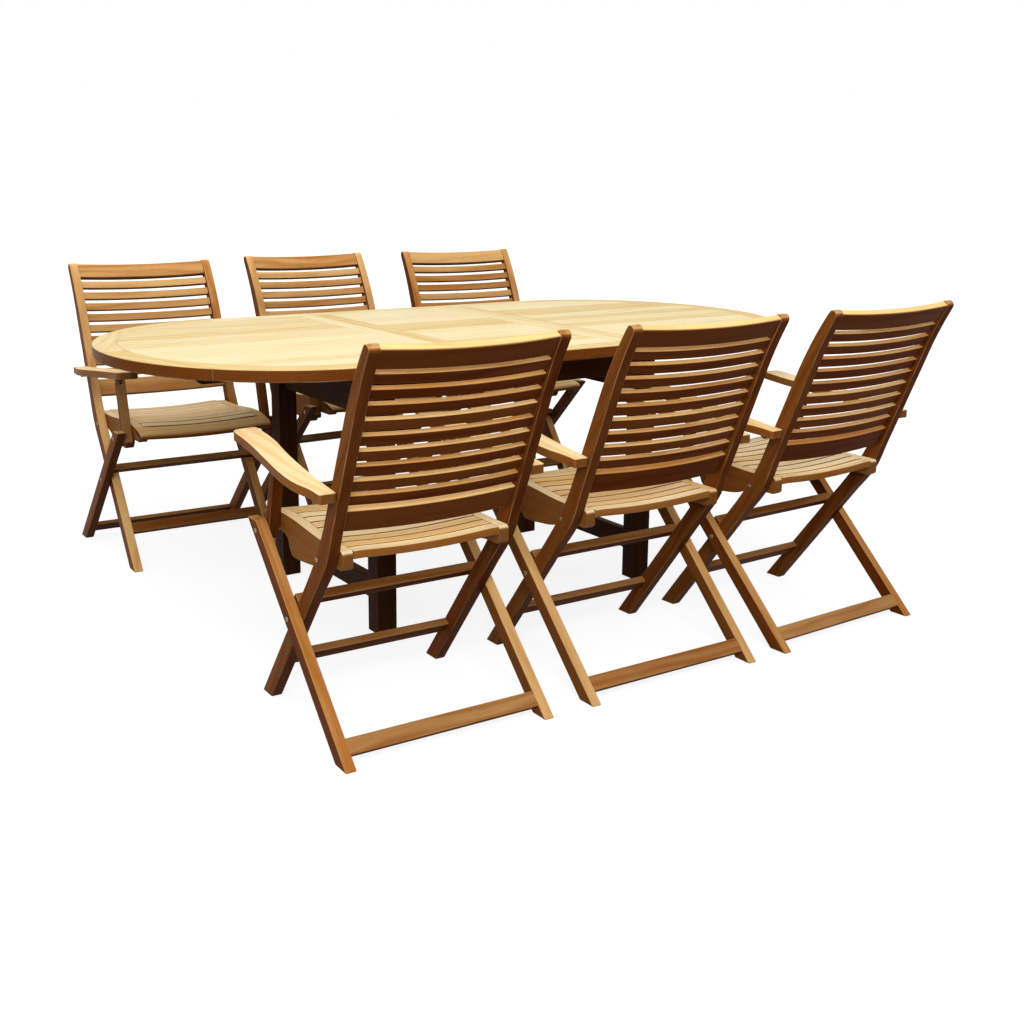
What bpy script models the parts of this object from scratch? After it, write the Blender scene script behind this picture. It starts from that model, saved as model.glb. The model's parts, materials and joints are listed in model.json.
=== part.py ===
"""Patio dining set: an extending oval table and six folding armchairs.

World frame: metres, +Z up, X along the table, the floor at Z = 0.
Chair frame: x to its left and right, y forward, z up, seen from the side as (y, z).
"""

from math import asin, cos, pi, radians, sin, tan

import bpy
from mathutils import Matrix, Vector

# ---------------------------------------------------------------- sizes shared by the set
JOINT_GAP = 0.0003       # air between pieces that touch on the real object
LAYER_GAP = 0.0005       # air between flat pieces that turn past each other
EMBED = 0.004            # how far a tenon runs into its neighbour inside one fused piece
PIN_SIDES = 10
BOLT_RADIUS = 0.004
BOLT_HOLE_RADIUS = 0.0048

# ---------------------------------------------------------------- table
TABLE_HEIGHT = 0.754
TOP_THICKNESS = 0.031
TABLE_HALF_LENGTH = 1.047
TABLE_HALF_WIDTH = 0.529
TABLE_STRAIGHT_HALF = 0.578      # the sides are straight this far from the middle
LEAF_HALF_LENGTH = 0.249         # half the middle leaf, along the table
LEAF_CLEARANCE = 0.0004
END_CURVE_SEGMENTS = 24

TABLE_LEG_SIZE = 0.056
TABLE_LEG_X = 0.4346
TABLE_LEG_Y = 0.2966
END_RAIL_THICKNESS = 0.025
END_RAIL_BOTTOM = 0.573
LONG_RAIL_THICKNESS = 0.025
LONG_RAIL_BOTTOM = 0.628
LOW_RAIL_THICKNESS = 0.025
LOW_RAIL_BOTTOM = 0.0815
LOW_RAIL_TOP = 0.140

RUNNER_Y = 0.245
RUNNER_WIDTH = 0.028
RUNNER_DEPTH = 0.025
RUNNER_OUTER_X = 0.911
RUNNER_INNER_X = 0.012
RUNNER_CLEARANCE = 0.0006
RUNNER_NOSE = 0.018              # the cut corner at a runner's outer end

# ---------------------------------------------------------------- chair, side to side
LEG_INNER_X = 0.206              # the long legs' inner faces
LEG_THICKNESS = 0.027
REAR_LEG_THICKNESS = 0.026
SEAT_SIDE_GAP = 0.0015

# ---------------------------------------------------------------- chair, long leg in profile
LONG_FOOT_Y = 0.2068             # middle of the front foot on the floor
LOWER_LEAN = radians(37.8)       # lean of the lower part from upright
UPPER_LEAN = radians(22.9)
TOP_LEAN = radians(33.0)
KNEE_Z = 0.414
LONG_LEG_TOP_Z = 0.884
SHOULDER_Z = LONG_LEG_TOP_Z - 0.154
LONG_LEG_WIDTH = 0.040
KNEE_WIDTH = 0.046
KNEE_BLEND_BELOW = 0.085         # the swelling at the knee fades out this far below it
KNEE_BLEND_ABOVE = 0.075
SHOULDER_WIDTH = 0.0365
TOP_WIDTH = 0.025
TOP_CURVE_STEPS = 3
CAP_DROP = 0.4                   # where the rounded top begins, as a share of its width
CAP_RISE = 0.12
CAP_HALF = 0.35

# ---------------------------------------------------------------- chair, rear legs in profile
REAR_FOOT_Y = -0.2396
REAR_LEAN = radians(45.8)
REAR_LEG_WIDTH = 0.0362
REAR_LEG_TOP_Z = 0.430
REAR_LEG_ROUND = 0.012           # how far down its edges a rear leg's top is rounded
REAR_LEG_ROUND_IN = 0.004

# ---------------------------------------------------------------- chair, pivots in profile
SEAT_PIVOT = Vector((-0.087, 0.405))
ROD_Z = 0.407                    # the cross rod lies on the rear legs' middle line
ROD_RADIUS = 0.005
ROD_HOLE_RADIUS = 0.0058
ARM_BOLT = Vector((-0.152, 0.5566))
ARM_POST_LEAN = radians(14.5)

# ---------------------------------------------------------------- chair, cross bars
BAR_THICKNESS = 0.020
TOP_RAIL_Z = LONG_LEG_TOP_Z - 0.0225
TOP_RAIL_HEIGHT = 0.050
BOTTOM_RAIL_Z = 0.5055
BOTTOM_RAIL_HEIGHT = 0.053
BACK_SLATS = 9
BACK_SLAT_FIRST_Z = BOTTOM_RAIL_Z + 0.0465
BACK_SLAT_LAST_Z = TOP_RAIL_Z - 0.042
BACK_SLAT_GAP = 0.009
BACK_SLAT_THICKNESS = 0.015
BACK_BOW = 0.013                 # how far the middle of the back is set to the rear
BOW_SEGMENTS = 4
LOW_STRETCHER_Z = 0.1045
LOW_STRETCHER_INSET = 0.002      # how far it stands back from the legs' front edges
STRETCHER_HEIGHT = 0.032
MID_STRETCHER_Z = 0.2695         # where its top meets the long legs' front edges
MID_STRETCHER_DEPTH = 0.0245
MID_STRETCHER_HEIGHT = 0.0215
REAR_STRETCHER_Z = 0.0265
REAR_STRETCHER_HEIGHT = 0.038
REAR_STRETCHER_THICKNESS = 0.014
REAR_STRETCHER_INSET = 0.0005

# ---------------------------------------------------------------- chair, seat
SEAT_REAR_Y = -0.152
SEAT_FRONT_Y = 0.265             # the front board's nose
SEAT_HOLLOW_Y = -0.075           # the top is level behind this
SEAT_HOLLOW_Z = 0.433
SEAT_CREST_Y = 0.145             # the top is highest here
SEAT_CREST_Z = 0.4465
SEAT_FRONT_RADIUS = 0.367        # how it curves down from the crest to the front
SEAT_SLATS = 10
SEAT_SLAT_GAP = 0.0065
SEAT_SLAT_THICKNESS = 0.019
SEAT_SLAT_SET = 0.0005           # how far the slats' ends lie below the side rails' tops
SEAT_DISH = 0.006                # how far the middle of each slat is hollowed
SEAT_DISH_HALF = 0.86            # the share of each slat that is hollowed
FRONT_BOARD_WIDTH = 0.052
FRONT_BOARD_NOSE = 0.012         # how far back its rounded front edge begins
SEAT_RAIL_THICKNESS = 0.025
SEAT_RAIL_STEPS = 8
SEAT_RAIL_FRONT_BACK = 0.010     # how far the rails stop behind the front board's nose
SEAT_RAIL_CORNER = 0.008
SEAT_RAIL_EMBED = 0.001          # how far the rails run up into the front board
SEAT_RAIL_STEP_Y = 0.143         # where the underside drops behind the rod
SEAT_RAIL_LOW_Z = 0.357          # the rail's lowest point
SEAT_RAIL_RISE = 0.043           # from there up to the step
ROD_SLOT_RADIUS = 0.0062         # the slot under a seat rail that the rod lies in

# ---------------------------------------------------------------- chair, arms
ARM_SLOPE = 0.1
ARM_TOP_AT_ORIGIN = 0.592
ARM_THICKNESS = 0.0215
ARM_FRONT_Y = 0.290
ARM_REAR_Y = -0.192
ARM_FRONT_INNER_X = 0.2065
ARM_FRONT_OUTER_X = 0.268
ARM_WAIST_OUTER_X = 0.288
ARM_REAR_OUTER_X = 0.2715
ARM_CORNER = 0.018
ARM_FRONT_SKEW = 0.008           # the front end is cut this much askew
ARM_CORNER_CUT = 0.3             # how much of each corner's radius the flat corner keeps
FORK_CHEEK = 0.0095              # each side of a post's forked top, beside the arm's tongue
FORK_DEPTH = 0.013               # how far below the arm's bolt the fork reaches
CLEAT_BELOW = 0.0125             # how far below the arm its bolts lie
CLEAT_RADIUS = 0.0115
CLEAT_ROOT = 0.020               # half the length of a cleat where it joins the arm
CLEAT_SHOULDER = 0.002
TONGUE_ROOT = 0.0125             # the same for the tongue, which turns inside the fork
ARM_POST_WIDTH = 0.022
ARM_POST_TAIL = 0.014            # how far a post runs on below the cross rod

# ---------------------------------------------------------------- where things stand
TABLE_Y = -0.0665                # puts the middle of the whole set at the origin
# name, x and y from the table's middle, turn in degrees
CHAIR_PLACES = (
    ("chair_1", -0.633, -0.728, -1.1),
    ("chair_2", -0.009, -0.737, -0.5),
    ("chair_3", 0.597, -0.733, 2.0),
    ("chair_4", -0.588, 0.763, 178.5),
    ("chair_5", 0.070, 0.870, 181.2),
    ("chair_6", 0.683, 0.845, 177.1),
)

# name: colour, roughness
WOODS = {
    "lit_teak": ((0.62, 0.40, 0.17, 1.0), 0.55),
    "teak": ((0.42, 0.24, 0.10, 1.0), 0.55),
    "dark_teak": ((0.20, 0.10, 0.045, 1.0), 0.60),
}


# ================================================================ modelling helpers
def clear_scene():
    for thing in list(bpy.data.objects):
        bpy.data.objects.remove(thing, do_unlink=True)


def prism(outline, low, high, axis="X"):
    """A closed outline carried along an axis, as vertices and faces."""
    low, high = sorted((low, high))
    area = sum(
        a[0] * b[1] - b[0] * a[1] for a, b in zip(outline, outline[1:] + outline[:1])
    )
    if area < 0:
        outline = outline[::-1]
    count = len(outline)
    if axis == "X":
        verts = [Vector((x, p[0], p[1])) for x in (low, high) for p in outline]
    elif axis == "Y":
        verts = [Vector((p[1], y, p[0])) for y in (low, high) for p in outline]
    else:
        verts = [Vector((p[0], p[1], z)) for z in (low, high) for p in outline]
    faces = [tuple(range(count))[::-1], tuple(range(count, 2 * count))]
    for i in range(count):
        j = (i + 1) % count
        faces.append((i, j, count + j, count + i))
    return verts, faces


def box(low, high):
    outline = [(low[1], low[2]), (high[1], low[2]), (high[1], high[2]), (low[1], high[2])]
    return prism(outline, low[0], high[0])


def disc(centre, radius, sides=PIN_SIDES):
    turn = 2 * pi / sides
    return [
        (centre[0] + radius * cos(turn * (i + 0.5)), centre[1] + radius * sin(turn * (i + 0.5)))
        for i in range(sides)
    ]


def pin(centre, radius, low, high, sides=PIN_SIDES):
    return prism(disc(centre, radius, sides), low, high)


def swept_bar(section, half_length, segments, shift):
    """A bar across the chair whose section moves by shift(share) along its length."""
    count = len(section)
    verts = []
    for i in range(segments + 1):
        share = 2 * i / segments - 1
        offset = shift(share)
        verts += [Vector((share * half_length, p[0] + offset[0], p[1] + offset[1])) for p in section]
    faces = [tuple(range(count))[::-1], tuple(range(segments * count, (segments + 1) * count))]
    for i in range(segments):
        for j in range(count):
            k = (j + 1) % count
            faces.append((i * count + j, i * count + k, (i + 1) * count + k, (i + 1) * count + j))
    return verts, faces


def mesh_from(shapes, name):
    verts = []
    faces = []
    for shape_verts, shape_faces in shapes:
        start = len(verts)
        verts += shape_verts
        faces += [tuple(start + i for i in face) for face in shape_faces]
    mesh = bpy.data.meshes.new(name)
    mesh.from_pydata(verts, [], faces)
    mesh.validate()
    return mesh


def fuse(name, shapes, holes=(), pins=()):
    """Overlapping closed shapes joined, holes cut out, then pins added: one closed body."""
    body = bpy.data.objects.new(name, mesh_from(shapes[:1], name))
    bpy.context.collection.objects.link(body)
    helpers = []
    steps = (("UNION", shapes[1:]), ("DIFFERENCE", holes), ("UNION", pins))
    for operation, group in steps:
        if not group:
            continue
        helper = bpy.data.objects.new(name + "_helper", mesh_from(group, name + "_helper"))
        helper.hide_render = True
        helper.display_type = "WIRE"
        bpy.context.collection.objects.link(helper)
        helpers.append(helper)
        modifier = body.modifiers.new(operation.title(), "BOOLEAN")
        modifier.operation = operation
        modifier.solver = "EXACT"
        modifier.use_self = True
        modifier.object = helper
    bpy.context.view_layer.update()
    graph = bpy.context.evaluated_depsgraph_get()
    mesh = bpy.data.meshes.new_from_object(body.evaluated_get(graph))
    mesh.name = name
    for thing in [body] + helpers:
        bpy.data.objects.remove(thing, do_unlink=True)
    return mesh


def wood(name):
    colour, roughness = WOODS[name]
    material = bpy.data.materials.get(name) or bpy.data.materials.new(name)
    material.use_nodes = True
    shader = material.node_tree.nodes["Principled BSDF"]
    shader.inputs["Base Color"].default_value = colour
    shader.inputs["Roughness"].default_value = roughness
    shader.inputs["Metallic"].default_value = 0.0
    material.diffuse_color = colour
    return material


def add_node(name, mesh, wood_name, origin=(0, 0, 0), parent=None):
    """One named piece. Its mesh is given about the parent's frame and moved to its origin."""
    own = mesh.copy()
    own.name = name
    own.transform(Matrix.Translation(-Vector(origin)))
    own.materials.clear()
    own.materials.append(wood(wood_name).copy())
    own.materials[0].name = name
    thing = bpy.data.objects.new(name, own)
    bpy.context.collection.objects.link(thing)
    thing.parent = parent
    thing.location = origin
    return thing


# ================================================================ table
TOP_UNDERSIDE = TABLE_HEIGHT - TOP_THICKNESS
FRAME_TOP = TOP_UNDERSIDE - JOINT_GAP
RUNNER_BOTTOM = FRAME_TOP - RUNNER_DEPTH


def end_leaf_outline(side):
    """An end leaf seen from above: straight sides that run into half an ellipse."""
    inner = LEAF_HALF_LENGTH + LEAF_CLEARANCE / 2
    reach = TABLE_HALF_LENGTH - TABLE_STRAIGHT_HALF
    points = [(inner, -TABLE_HALF_WIDTH)]
    for i in range(END_CURVE_SEGMENTS + 1):
        angle = pi * i / END_CURVE_SEGMENTS - pi / 2
        points.append((TABLE_STRAIGHT_HALF + reach * cos(angle), TABLE_HALF_WIDTH * sin(angle)))
    points.append((inner, TABLE_HALF_WIDTH))
    return [(side * x, y) for x, y in points]


def end_leaf(side):
    return mesh_from([prism(end_leaf_outline(side), TOP_UNDERSIDE, TABLE_HEIGHT, "Z")], "end_leaf")


def middle_leaf():
    half = LEAF_HALF_LENGTH - LEAF_CLEARANCE / 2
    low = (-half, -TABLE_HALF_WIDTH, TOP_UNDERSIDE)
    high = (half, TABLE_HALF_WIDTH, TABLE_HEIGHT)
    return mesh_from([box(low, high)], "middle_leaf")


def runner(side, y):
    """A bearer under an end leaf that slides through the end rail, its outer corner cut."""
    outline = [
        (RUNNER_INNER_X, RUNNER_BOTTOM),
        (RUNNER_OUTER_X - RUNNER_NOSE, RUNNER_BOTTOM),
        (RUNNER_OUTER_X, RUNNER_BOTTOM + RUNNER_NOSE),
        (RUNNER_OUTER_X, FRAME_TOP),
        (RUNNER_INNER_X, FRAME_TOP),
    ]
    outline = [(z, side * x) for x, z in outline]
    return mesh_from([prism(outline, y - RUNNER_WIDTH / 2, y + RUNNER_WIDTH / 2, "Y")], "runner")


def table_leg(x, y):
    half = TABLE_LEG_SIZE / 2
    return mesh_from([box((x - half, y - half, 0), (x + half, y + half, FRAME_TOP))], "leg")


def cross_rail(x, bottom, top, thickness, notched):
    """A rail from leg to leg across the table, notched on top where the runners pass."""
    half = TABLE_LEG_Y - TABLE_LEG_SIZE / 2 - JOINT_GAP
    low = (x - thickness / 2, -half, bottom)
    high = (x + thickness / 2, half, top)
    if not notched:
        return mesh_from([box(low, high)], "rail")
    notch_half = RUNNER_WIDTH / 2 + RUNNER_CLEARANCE
    notch_bottom = RUNNER_BOTTOM - RUNNER_CLEARANCE
    outline = [(bottom, -half), (top, -half)]
    for y in (-RUNNER_Y, RUNNER_Y):
        outline += [(top, y - notch_half), (notch_bottom, y - notch_half)]
        outline += [(notch_bottom, y + notch_half), (top, y + notch_half)]
    outline += [(top, half), (bottom, half)]
    section = [(y, z) for z, y in outline]
    return mesh_from([prism(section, low[0], high[0])], "rail")


def long_rail(y):
    half = TABLE_LEG_X - TABLE_LEG_SIZE / 2 - JOINT_GAP
    low = (-half, y - LONG_RAIL_THICKNESS / 2, LONG_RAIL_BOTTOM)
    high = (half, y + LONG_RAIL_THICKNESS / 2, FRAME_TOP)
    return mesh_from([box(low, high)], "rail")


def build_table(place):
    add_node("table_middle_leaf", middle_leaf(), "lit_teak", (0, 0, TABLE_HEIGHT), place)
    for side, end in ((-1, "left"), (1, "right")):
        leaf_at = (side * TABLE_STRAIGHT_HALF, 0, TABLE_HEIGHT)
        add_node(f"table_{end}_leaf", end_leaf(side), "lit_teak", leaf_at, place)
        x = side * TABLE_LEG_X
        rail = cross_rail(x, END_RAIL_BOTTOM, FRAME_TOP, END_RAIL_THICKNESS, True)
        add_node(f"table_{end}_end_rail", rail, "dark_teak", (x, 0, FRAME_TOP), place)
        low = cross_rail(x, LOW_RAIL_BOTTOM, LOW_RAIL_TOP, LOW_RAIL_THICKNESS, False)
        add_node(f"table_{end}_low_rail", low, "dark_teak", (x, 0, LOW_RAIL_BOTTOM), place)
        for row, name in ((-1, "near"), (1, "far")):
            leg = table_leg(x, row * TABLE_LEG_Y)
            leg_at = (x, row * TABLE_LEG_Y, 0)
            add_node(f"table_{end}_{name}_leg", leg, "dark_teak", leg_at, place)
            bearer = runner(side, row * RUNNER_Y)
            bearer_at = (side * TABLE_STRAIGHT_HALF, row * RUNNER_Y, FRAME_TOP)
            add_node(f"table_{end}_{name}_runner", bearer, "teak", bearer_at, place)
    for row, name in ((-1, "near"), (1, "far")):
        y = row * TABLE_LEG_Y
        add_node(f"table_{name}_long_rail", long_rail(y), "dark_teak", (0, y, FRAME_TOP), place)


# ================================================================ chair: where things lie
LEG_OUTER_X = LEG_INNER_X + LEG_THICKNESS
REAR_LEG_INNER_X = LEG_OUTER_X + LAYER_GAP
REAR_LEG_OUTER_X = REAR_LEG_INNER_X + REAR_LEG_THICKNESS
SEAT_HALF_WIDTH = LEG_INNER_X - SEAT_SIDE_GAP
LOWER_UP = Vector((-sin(LOWER_LEAN), cos(LOWER_LEAN)))
UPPER_UP = Vector((-sin(UPPER_LEAN), cos(UPPER_LEAN)))
REAR_UP = Vector((sin(REAR_LEAN), cos(REAR_LEAN)))
KNEE = Vector((LONG_FOOT_Y - tan(LOWER_LEAN) * KNEE_Z, KNEE_Z))
SHOULDER = KNEE + UPPER_UP * ((SHOULDER_Z - KNEE_Z) / UPPER_UP.y)


def forward_of(up):
    """The unit vector square to an upward direction, on its forward side."""
    return Vector((up.y, -up.x))


def rear_leg_middle(z):
    return Vector((REAR_FOOT_Y + tan(REAR_LEAN) * z, z))


def upper_leg_station(z):
    """Middle, upward direction and width of the long leg at a height above the knee."""
    if z <= SHOULDER_Z:
        share = (z - KNEE_Z) / (SHOULDER_Z - KNEE_Z)
        width = LONG_LEG_WIDTH + (SHOULDER_WIDTH - LONG_LEG_WIDTH) * share
        return KNEE.lerp(SHOULDER, share), UPPER_UP, width
    radius = (LONG_LEG_TOP_Z - SHOULDER_Z) / (sin(TOP_LEAN) - sin(UPPER_LEAN))
    lean = asin(sin(UPPER_LEAN) + (z - SHOULDER_Z) / radius)
    middle = SHOULDER + Vector((radius * (cos(lean) - cos(UPPER_LEAN)), z - SHOULDER_Z))
    share = (z - SHOULDER_Z) / (LONG_LEG_TOP_Z - SHOULDER_Z)
    width = SHOULDER_WIDTH + (TOP_WIDTH - SHOULDER_WIDTH) * share
    return middle, Vector((-sin(lean), cos(lean))), width


def crossing_point():
    """Where the middle lines of the long and the rear legs cross: the fold's pivot."""
    z = (LONG_FOOT_Y - REAR_FOOT_Y) / (tan(LOWER_LEAN) + tan(REAR_LEAN))
    return rear_leg_middle(z)


FOLD_PIVOT = crossing_point()
ROD = rear_leg_middle(ROD_Z)


def arm_underside(y):
    return ARM_TOP_AT_ORIGIN + ARM_SLOPE * y - ARM_THICKNESS


def arm_post_pivot():
    """Where the post's line from the cross rod comes within a bolt's depth of the arm."""
    rise = (arm_underside(ROD.x) - CLEAT_BELOW - ROD.y) / (1 + ARM_SLOPE * tan(ARM_POST_LEAN))
    return Vector((ROD.x - tan(ARM_POST_LEAN) * rise, ROD.y + rise))


ARM_PIVOT = arm_post_pivot()


def along_y(point):
    return (0.0, point[0], point[1])


# ================================================================ chair: long-leg frame
def long_leg_outline():
    """The long leg in profile: up the front edge to the rounded top and down the rear."""
    half = LONG_LEG_WIDTH / 2
    foot = Vector((LONG_FOOT_Y, 0.0))
    foot_half = half / cos(LOWER_LEAN)
    front = [Vector((LONG_FOOT_Y + foot_half, 0.0))]
    rear = [Vector((LONG_FOOT_Y - foot_half, 0.0))]
    forward = forward_of(LOWER_UP)
    below_knee = foot + LOWER_UP * ((KNEE_Z - KNEE_BLEND_BELOW) / LOWER_UP.y)
    front.append(below_knee + forward * half)
    rear.append(below_knee - forward * half)
    middle_up = (LOWER_UP + UPPER_UP).normalized()
    front.append(KNEE + forward_of(middle_up) * (KNEE_WIDTH - half))
    rear.append(KNEE - forward_of(middle_up) * half)
    heights = [KNEE_Z + KNEE_BLEND_ABOVE, SHOULDER_Z]
    curve = LONG_LEG_TOP_Z - SHOULDER_Z
    heights += [SHOULDER_Z + curve * (i + 1) / TOP_CURVE_STEPS for i in range(TOP_CURVE_STEPS)]
    for z in heights[:-1]:
        middle, up, width = upper_leg_station(z)
        front.append(middle + forward_of(up) * width / 2)
        rear.append(middle - forward_of(up) * width / 2)
    middle, up, width = upper_leg_station(LONG_LEG_TOP_Z)
    forward = forward_of(up)
    cap = [
        middle - up * width * CAP_DROP + forward * width / 2,
        middle + forward * width * CAP_HALF,
        middle + up * width * CAP_RISE,
        middle - forward * width * CAP_HALF,
        middle - up * width * CAP_DROP - forward * width / 2,
    ]
    return [tuple(p) for p in front + cap + rear[::-1]]


def slab(centre, up, height, thickness):
    """A rectangle in profile: its height along up, its thickness square to that."""
    rise = up * height / 2
    depth = forward_of(up) * thickness / 2
    return [
        tuple(centre - rise - depth),
        tuple(centre - rise + depth),
        tuple(centre + rise + depth),
        tuple(centre + rise - depth),
    ]


def back_bar(z, height, thickness):
    """A bar between the long legs, bowed to the rear in the middle."""
    middle, up, _ = upper_leg_station(z)
    rearward = -forward_of(up) * BACK_BOW

    def bow(share):
        return rearward * (1 - share * share)

    return swept_bar(slab(middle, up, height, thickness), LEG_INNER_X + EMBED, BOW_SEGMENTS, bow)


def low_stretcher():
    """A bar between the long legs near their front edges."""
    forward = forward_of(LOWER_UP)
    on_leg = Vector((LONG_FOOT_Y - tan(LOWER_LEAN) * LOW_STRETCHER_Z, LOW_STRETCHER_Z))
    centre = on_leg + forward * ((LONG_LEG_WIDTH - BAR_THICKNESS) / 2 - LOW_STRETCHER_INSET)
    half = LEG_INNER_X + EMBED
    return prism(slab(centre, LOWER_UP, STRETCHER_HEIGHT, BAR_THICKNESS), -half, half)


def mid_stretcher():
    """A bar fixed to the front edges of both long legs just above the crossing."""
    forward = forward_of(LOWER_UP)
    on_leg = Vector((LONG_FOOT_Y - tan(LOWER_LEAN) * MID_STRETCHER_Z, MID_STRETCHER_Z))
    corner = on_leg + forward * LONG_LEG_WIDTH / 2
    centre = corner + forward * (MID_STRETCHER_DEPTH - EMBED) / 2 - LOWER_UP * MID_STRETCHER_HEIGHT / 2
    section = slab(centre, LOWER_UP, MID_STRETCHER_HEIGHT, MID_STRETCHER_DEPTH + EMBED)
    return prism(section, -LEG_OUTER_X, LEG_OUTER_X)


def chair_frame():
    outline = long_leg_outline()
    shapes = [prism(outline, side * LEG_INNER_X, side * LEG_OUTER_X) for side in (-1, 1)]
    shapes.append(back_bar(TOP_RAIL_Z, TOP_RAIL_HEIGHT, BAR_THICKNESS))
    shapes.append(back_bar(BOTTOM_RAIL_Z, BOTTOM_RAIL_HEIGHT, BAR_THICKNESS))
    pitch = (BACK_SLAT_LAST_Z - BACK_SLAT_FIRST_Z) / (BACK_SLATS - 1)
    for i in range(BACK_SLATS):
        z = BACK_SLAT_FIRST_Z + pitch * i
        shapes.append(back_bar(z, pitch - BACK_SLAT_GAP, BACK_SLAT_THICKNESS))
    shapes.append(low_stretcher())
    shapes.append(mid_stretcher())
    holes = []
    for side in (-1, 1):
        low = side * (LEG_INNER_X - EMBED)
        high = side * (LEG_OUTER_X + EMBED)
        holes += [pin(pivot, BOLT_HOLE_RADIUS, low, high) for pivot in (FOLD_PIVOT, SEAT_PIVOT)]
    return fuse("chair_frame", shapes, holes)


# ================================================================ chair: rear-leg frame
def rear_leg_outline():
    slant = REAR_LEG_WIDTH / 2 / cos(REAR_LEAN)
    foot = rear_leg_middle(0)
    top = rear_leg_middle(REAR_LEG_TOP_Z)
    round_off = REAR_UP * REAR_LEG_ROUND
    inward = slant - REAR_LEG_ROUND_IN
    return [
        (foot.x + slant, 0.0),
        tuple(top + Vector((slant, 0)) - round_off),
        (top.x + inward, REAR_LEG_TOP_Z),
        (top.x - inward, REAR_LEG_TOP_Z),
        tuple(top - Vector((slant, 0)) - round_off * 0.4),
        (foot.x - slant, 0.0),
    ]


def rear_stretcher():
    """A bar between the rear legs, flush with their upper faces."""
    inset = (REAR_LEG_WIDTH - REAR_STRETCHER_THICKNESS) / 2 - REAR_STRETCHER_INSET
    centre = rear_leg_middle(REAR_STRETCHER_Z) - forward_of(REAR_UP) * inset
    half = REAR_LEG_INNER_X + EMBED
    section = slab(centre, REAR_UP, REAR_STRETCHER_HEIGHT, REAR_STRETCHER_THICKNESS)
    return prism(section, -half, half)


def rear_legs():
    outline = rear_leg_outline()
    shapes = []
    for side in (-1, 1):
        shapes.append(prism(outline, side * REAR_LEG_INNER_X, side * REAR_LEG_OUTER_X))
        bolt_end = side * (REAR_LEG_INNER_X + EMBED)
        shapes.append(pin(FOLD_PIVOT, BOLT_RADIUS, side * LEG_INNER_X, bolt_end))
    shapes.append(rear_stretcher())
    half = REAR_LEG_INNER_X + EMBED
    shapes.append(pin(ROD, ROD_RADIUS, -half, half))
    return fuse("rear_legs", shapes)


# ================================================================ chair: seat
def seat_top(y):
    """Height of the seat: level at the rear, up to the crest, then curving down in front."""
    if y > SEAT_CREST_Y:
        return SEAT_CREST_Z - (y - SEAT_CREST_Y) ** 2 / (2 * SEAT_FRONT_RADIUS)
    share = max(0.0, (y - SEAT_HOLLOW_Y) / (SEAT_CREST_Y - SEAT_HOLLOW_Y))
    return SEAT_HOLLOW_Z + (SEAT_CREST_Z - SEAT_HOLLOW_Z) * share * share * (3 - 2 * share)


FRONT_BOARD_Y = SEAT_FRONT_Y - FRONT_BOARD_WIDTH


def seat_rail_outline():
    """A side rail in profile: its top is the seat's, its underside steps up over the rod."""
    rear = SEAT_REAR_Y
    front = SEAT_FRONT_Y - SEAT_RAIL_FRONT_BACK
    under = SEAT_SLAT_THICKNESS - SEAT_RAIL_EMBED
    shallow = ROD_Z - ROD_RADIUS
    slot = [ROD + Vector((cos(pi / 4 * i), sin(pi / 4 * i))) * ROD_SLOT_RADIUS for i in range(4)]
    slot_mouth = slot[-1].x - (slot[-1].y - shallow)
    stations = [rear + SEAT_RAIL_CORNER]
    reach = FRONT_BOARD_Y + EMBED - stations[0]
    stations += [stations[0] + reach * (i + 1) / SEAT_RAIL_STEPS for i in range(SEAT_RAIL_STEPS)]

    def rail_at(along, rise):
        y = rear + (SEAT_RAIL_STEP_Y - rear) * along
        return (y, SEAT_RAIL_LOW_Z + SEAT_RAIL_RISE * rise)

    return [
        (rear, seat_top(rear) - SEAT_RAIL_CORNER),
        *[(y, seat_top(y)) for y in stations],
        *[(y, seat_top(y) - under) for y in (stations[-1], (stations[-1] + front) / 2, front)],
        (front, shallow + SEAT_RAIL_CORNER),
        (front - SEAT_RAIL_CORNER, shallow),
        (slot[0].x, shallow),
        *[tuple(p) for p in slot],
        (slot_mouth, shallow),
        rail_at(1.0, 1.0),
        rail_at(0.954, 0.860),
        rail_at(0.916, 0.302),
        rail_at(0.863, 0.0),
        rail_at(0.567, 0.128),
        rail_at(0.444, 0.279),
        rail_at(0.356, 0.523),
        rail_at(0.215, 0.721),
        rail_at(0.03, 0.767),
        rail_at(0.0, 0.907),
    ]


def hollow(share):
    """How far a seat board drops at a share of the way from the middle to its end."""
    inner = max(0.0, 1 - (share / SEAT_DISH_HALF) ** 2)
    return Vector((0.0, -SEAT_DISH * inner))


def seat_slat(index):
    """One slat between the side rails, hollowed towards the middle."""
    pitch = (FRONT_BOARD_Y - SEAT_REAR_Y) / SEAT_SLATS
    rear = SEAT_REAR_Y + index * pitch
    front = rear + pitch - SEAT_SLAT_GAP
    section = [
        (rear, seat_top(rear) - SEAT_SLAT_SET - SEAT_SLAT_THICKNESS),
        (front, seat_top(front) - SEAT_SLAT_SET - SEAT_SLAT_THICKNESS),
        (front, seat_top(front) - SEAT_SLAT_SET),
        (rear, seat_top(rear) - SEAT_SLAT_SET),
    ]
    half = SEAT_HALF_WIDTH - SEAT_RAIL_THICKNESS + EMBED
    return swept_bar(section, half, BOW_SEGMENTS, hollow)


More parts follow.
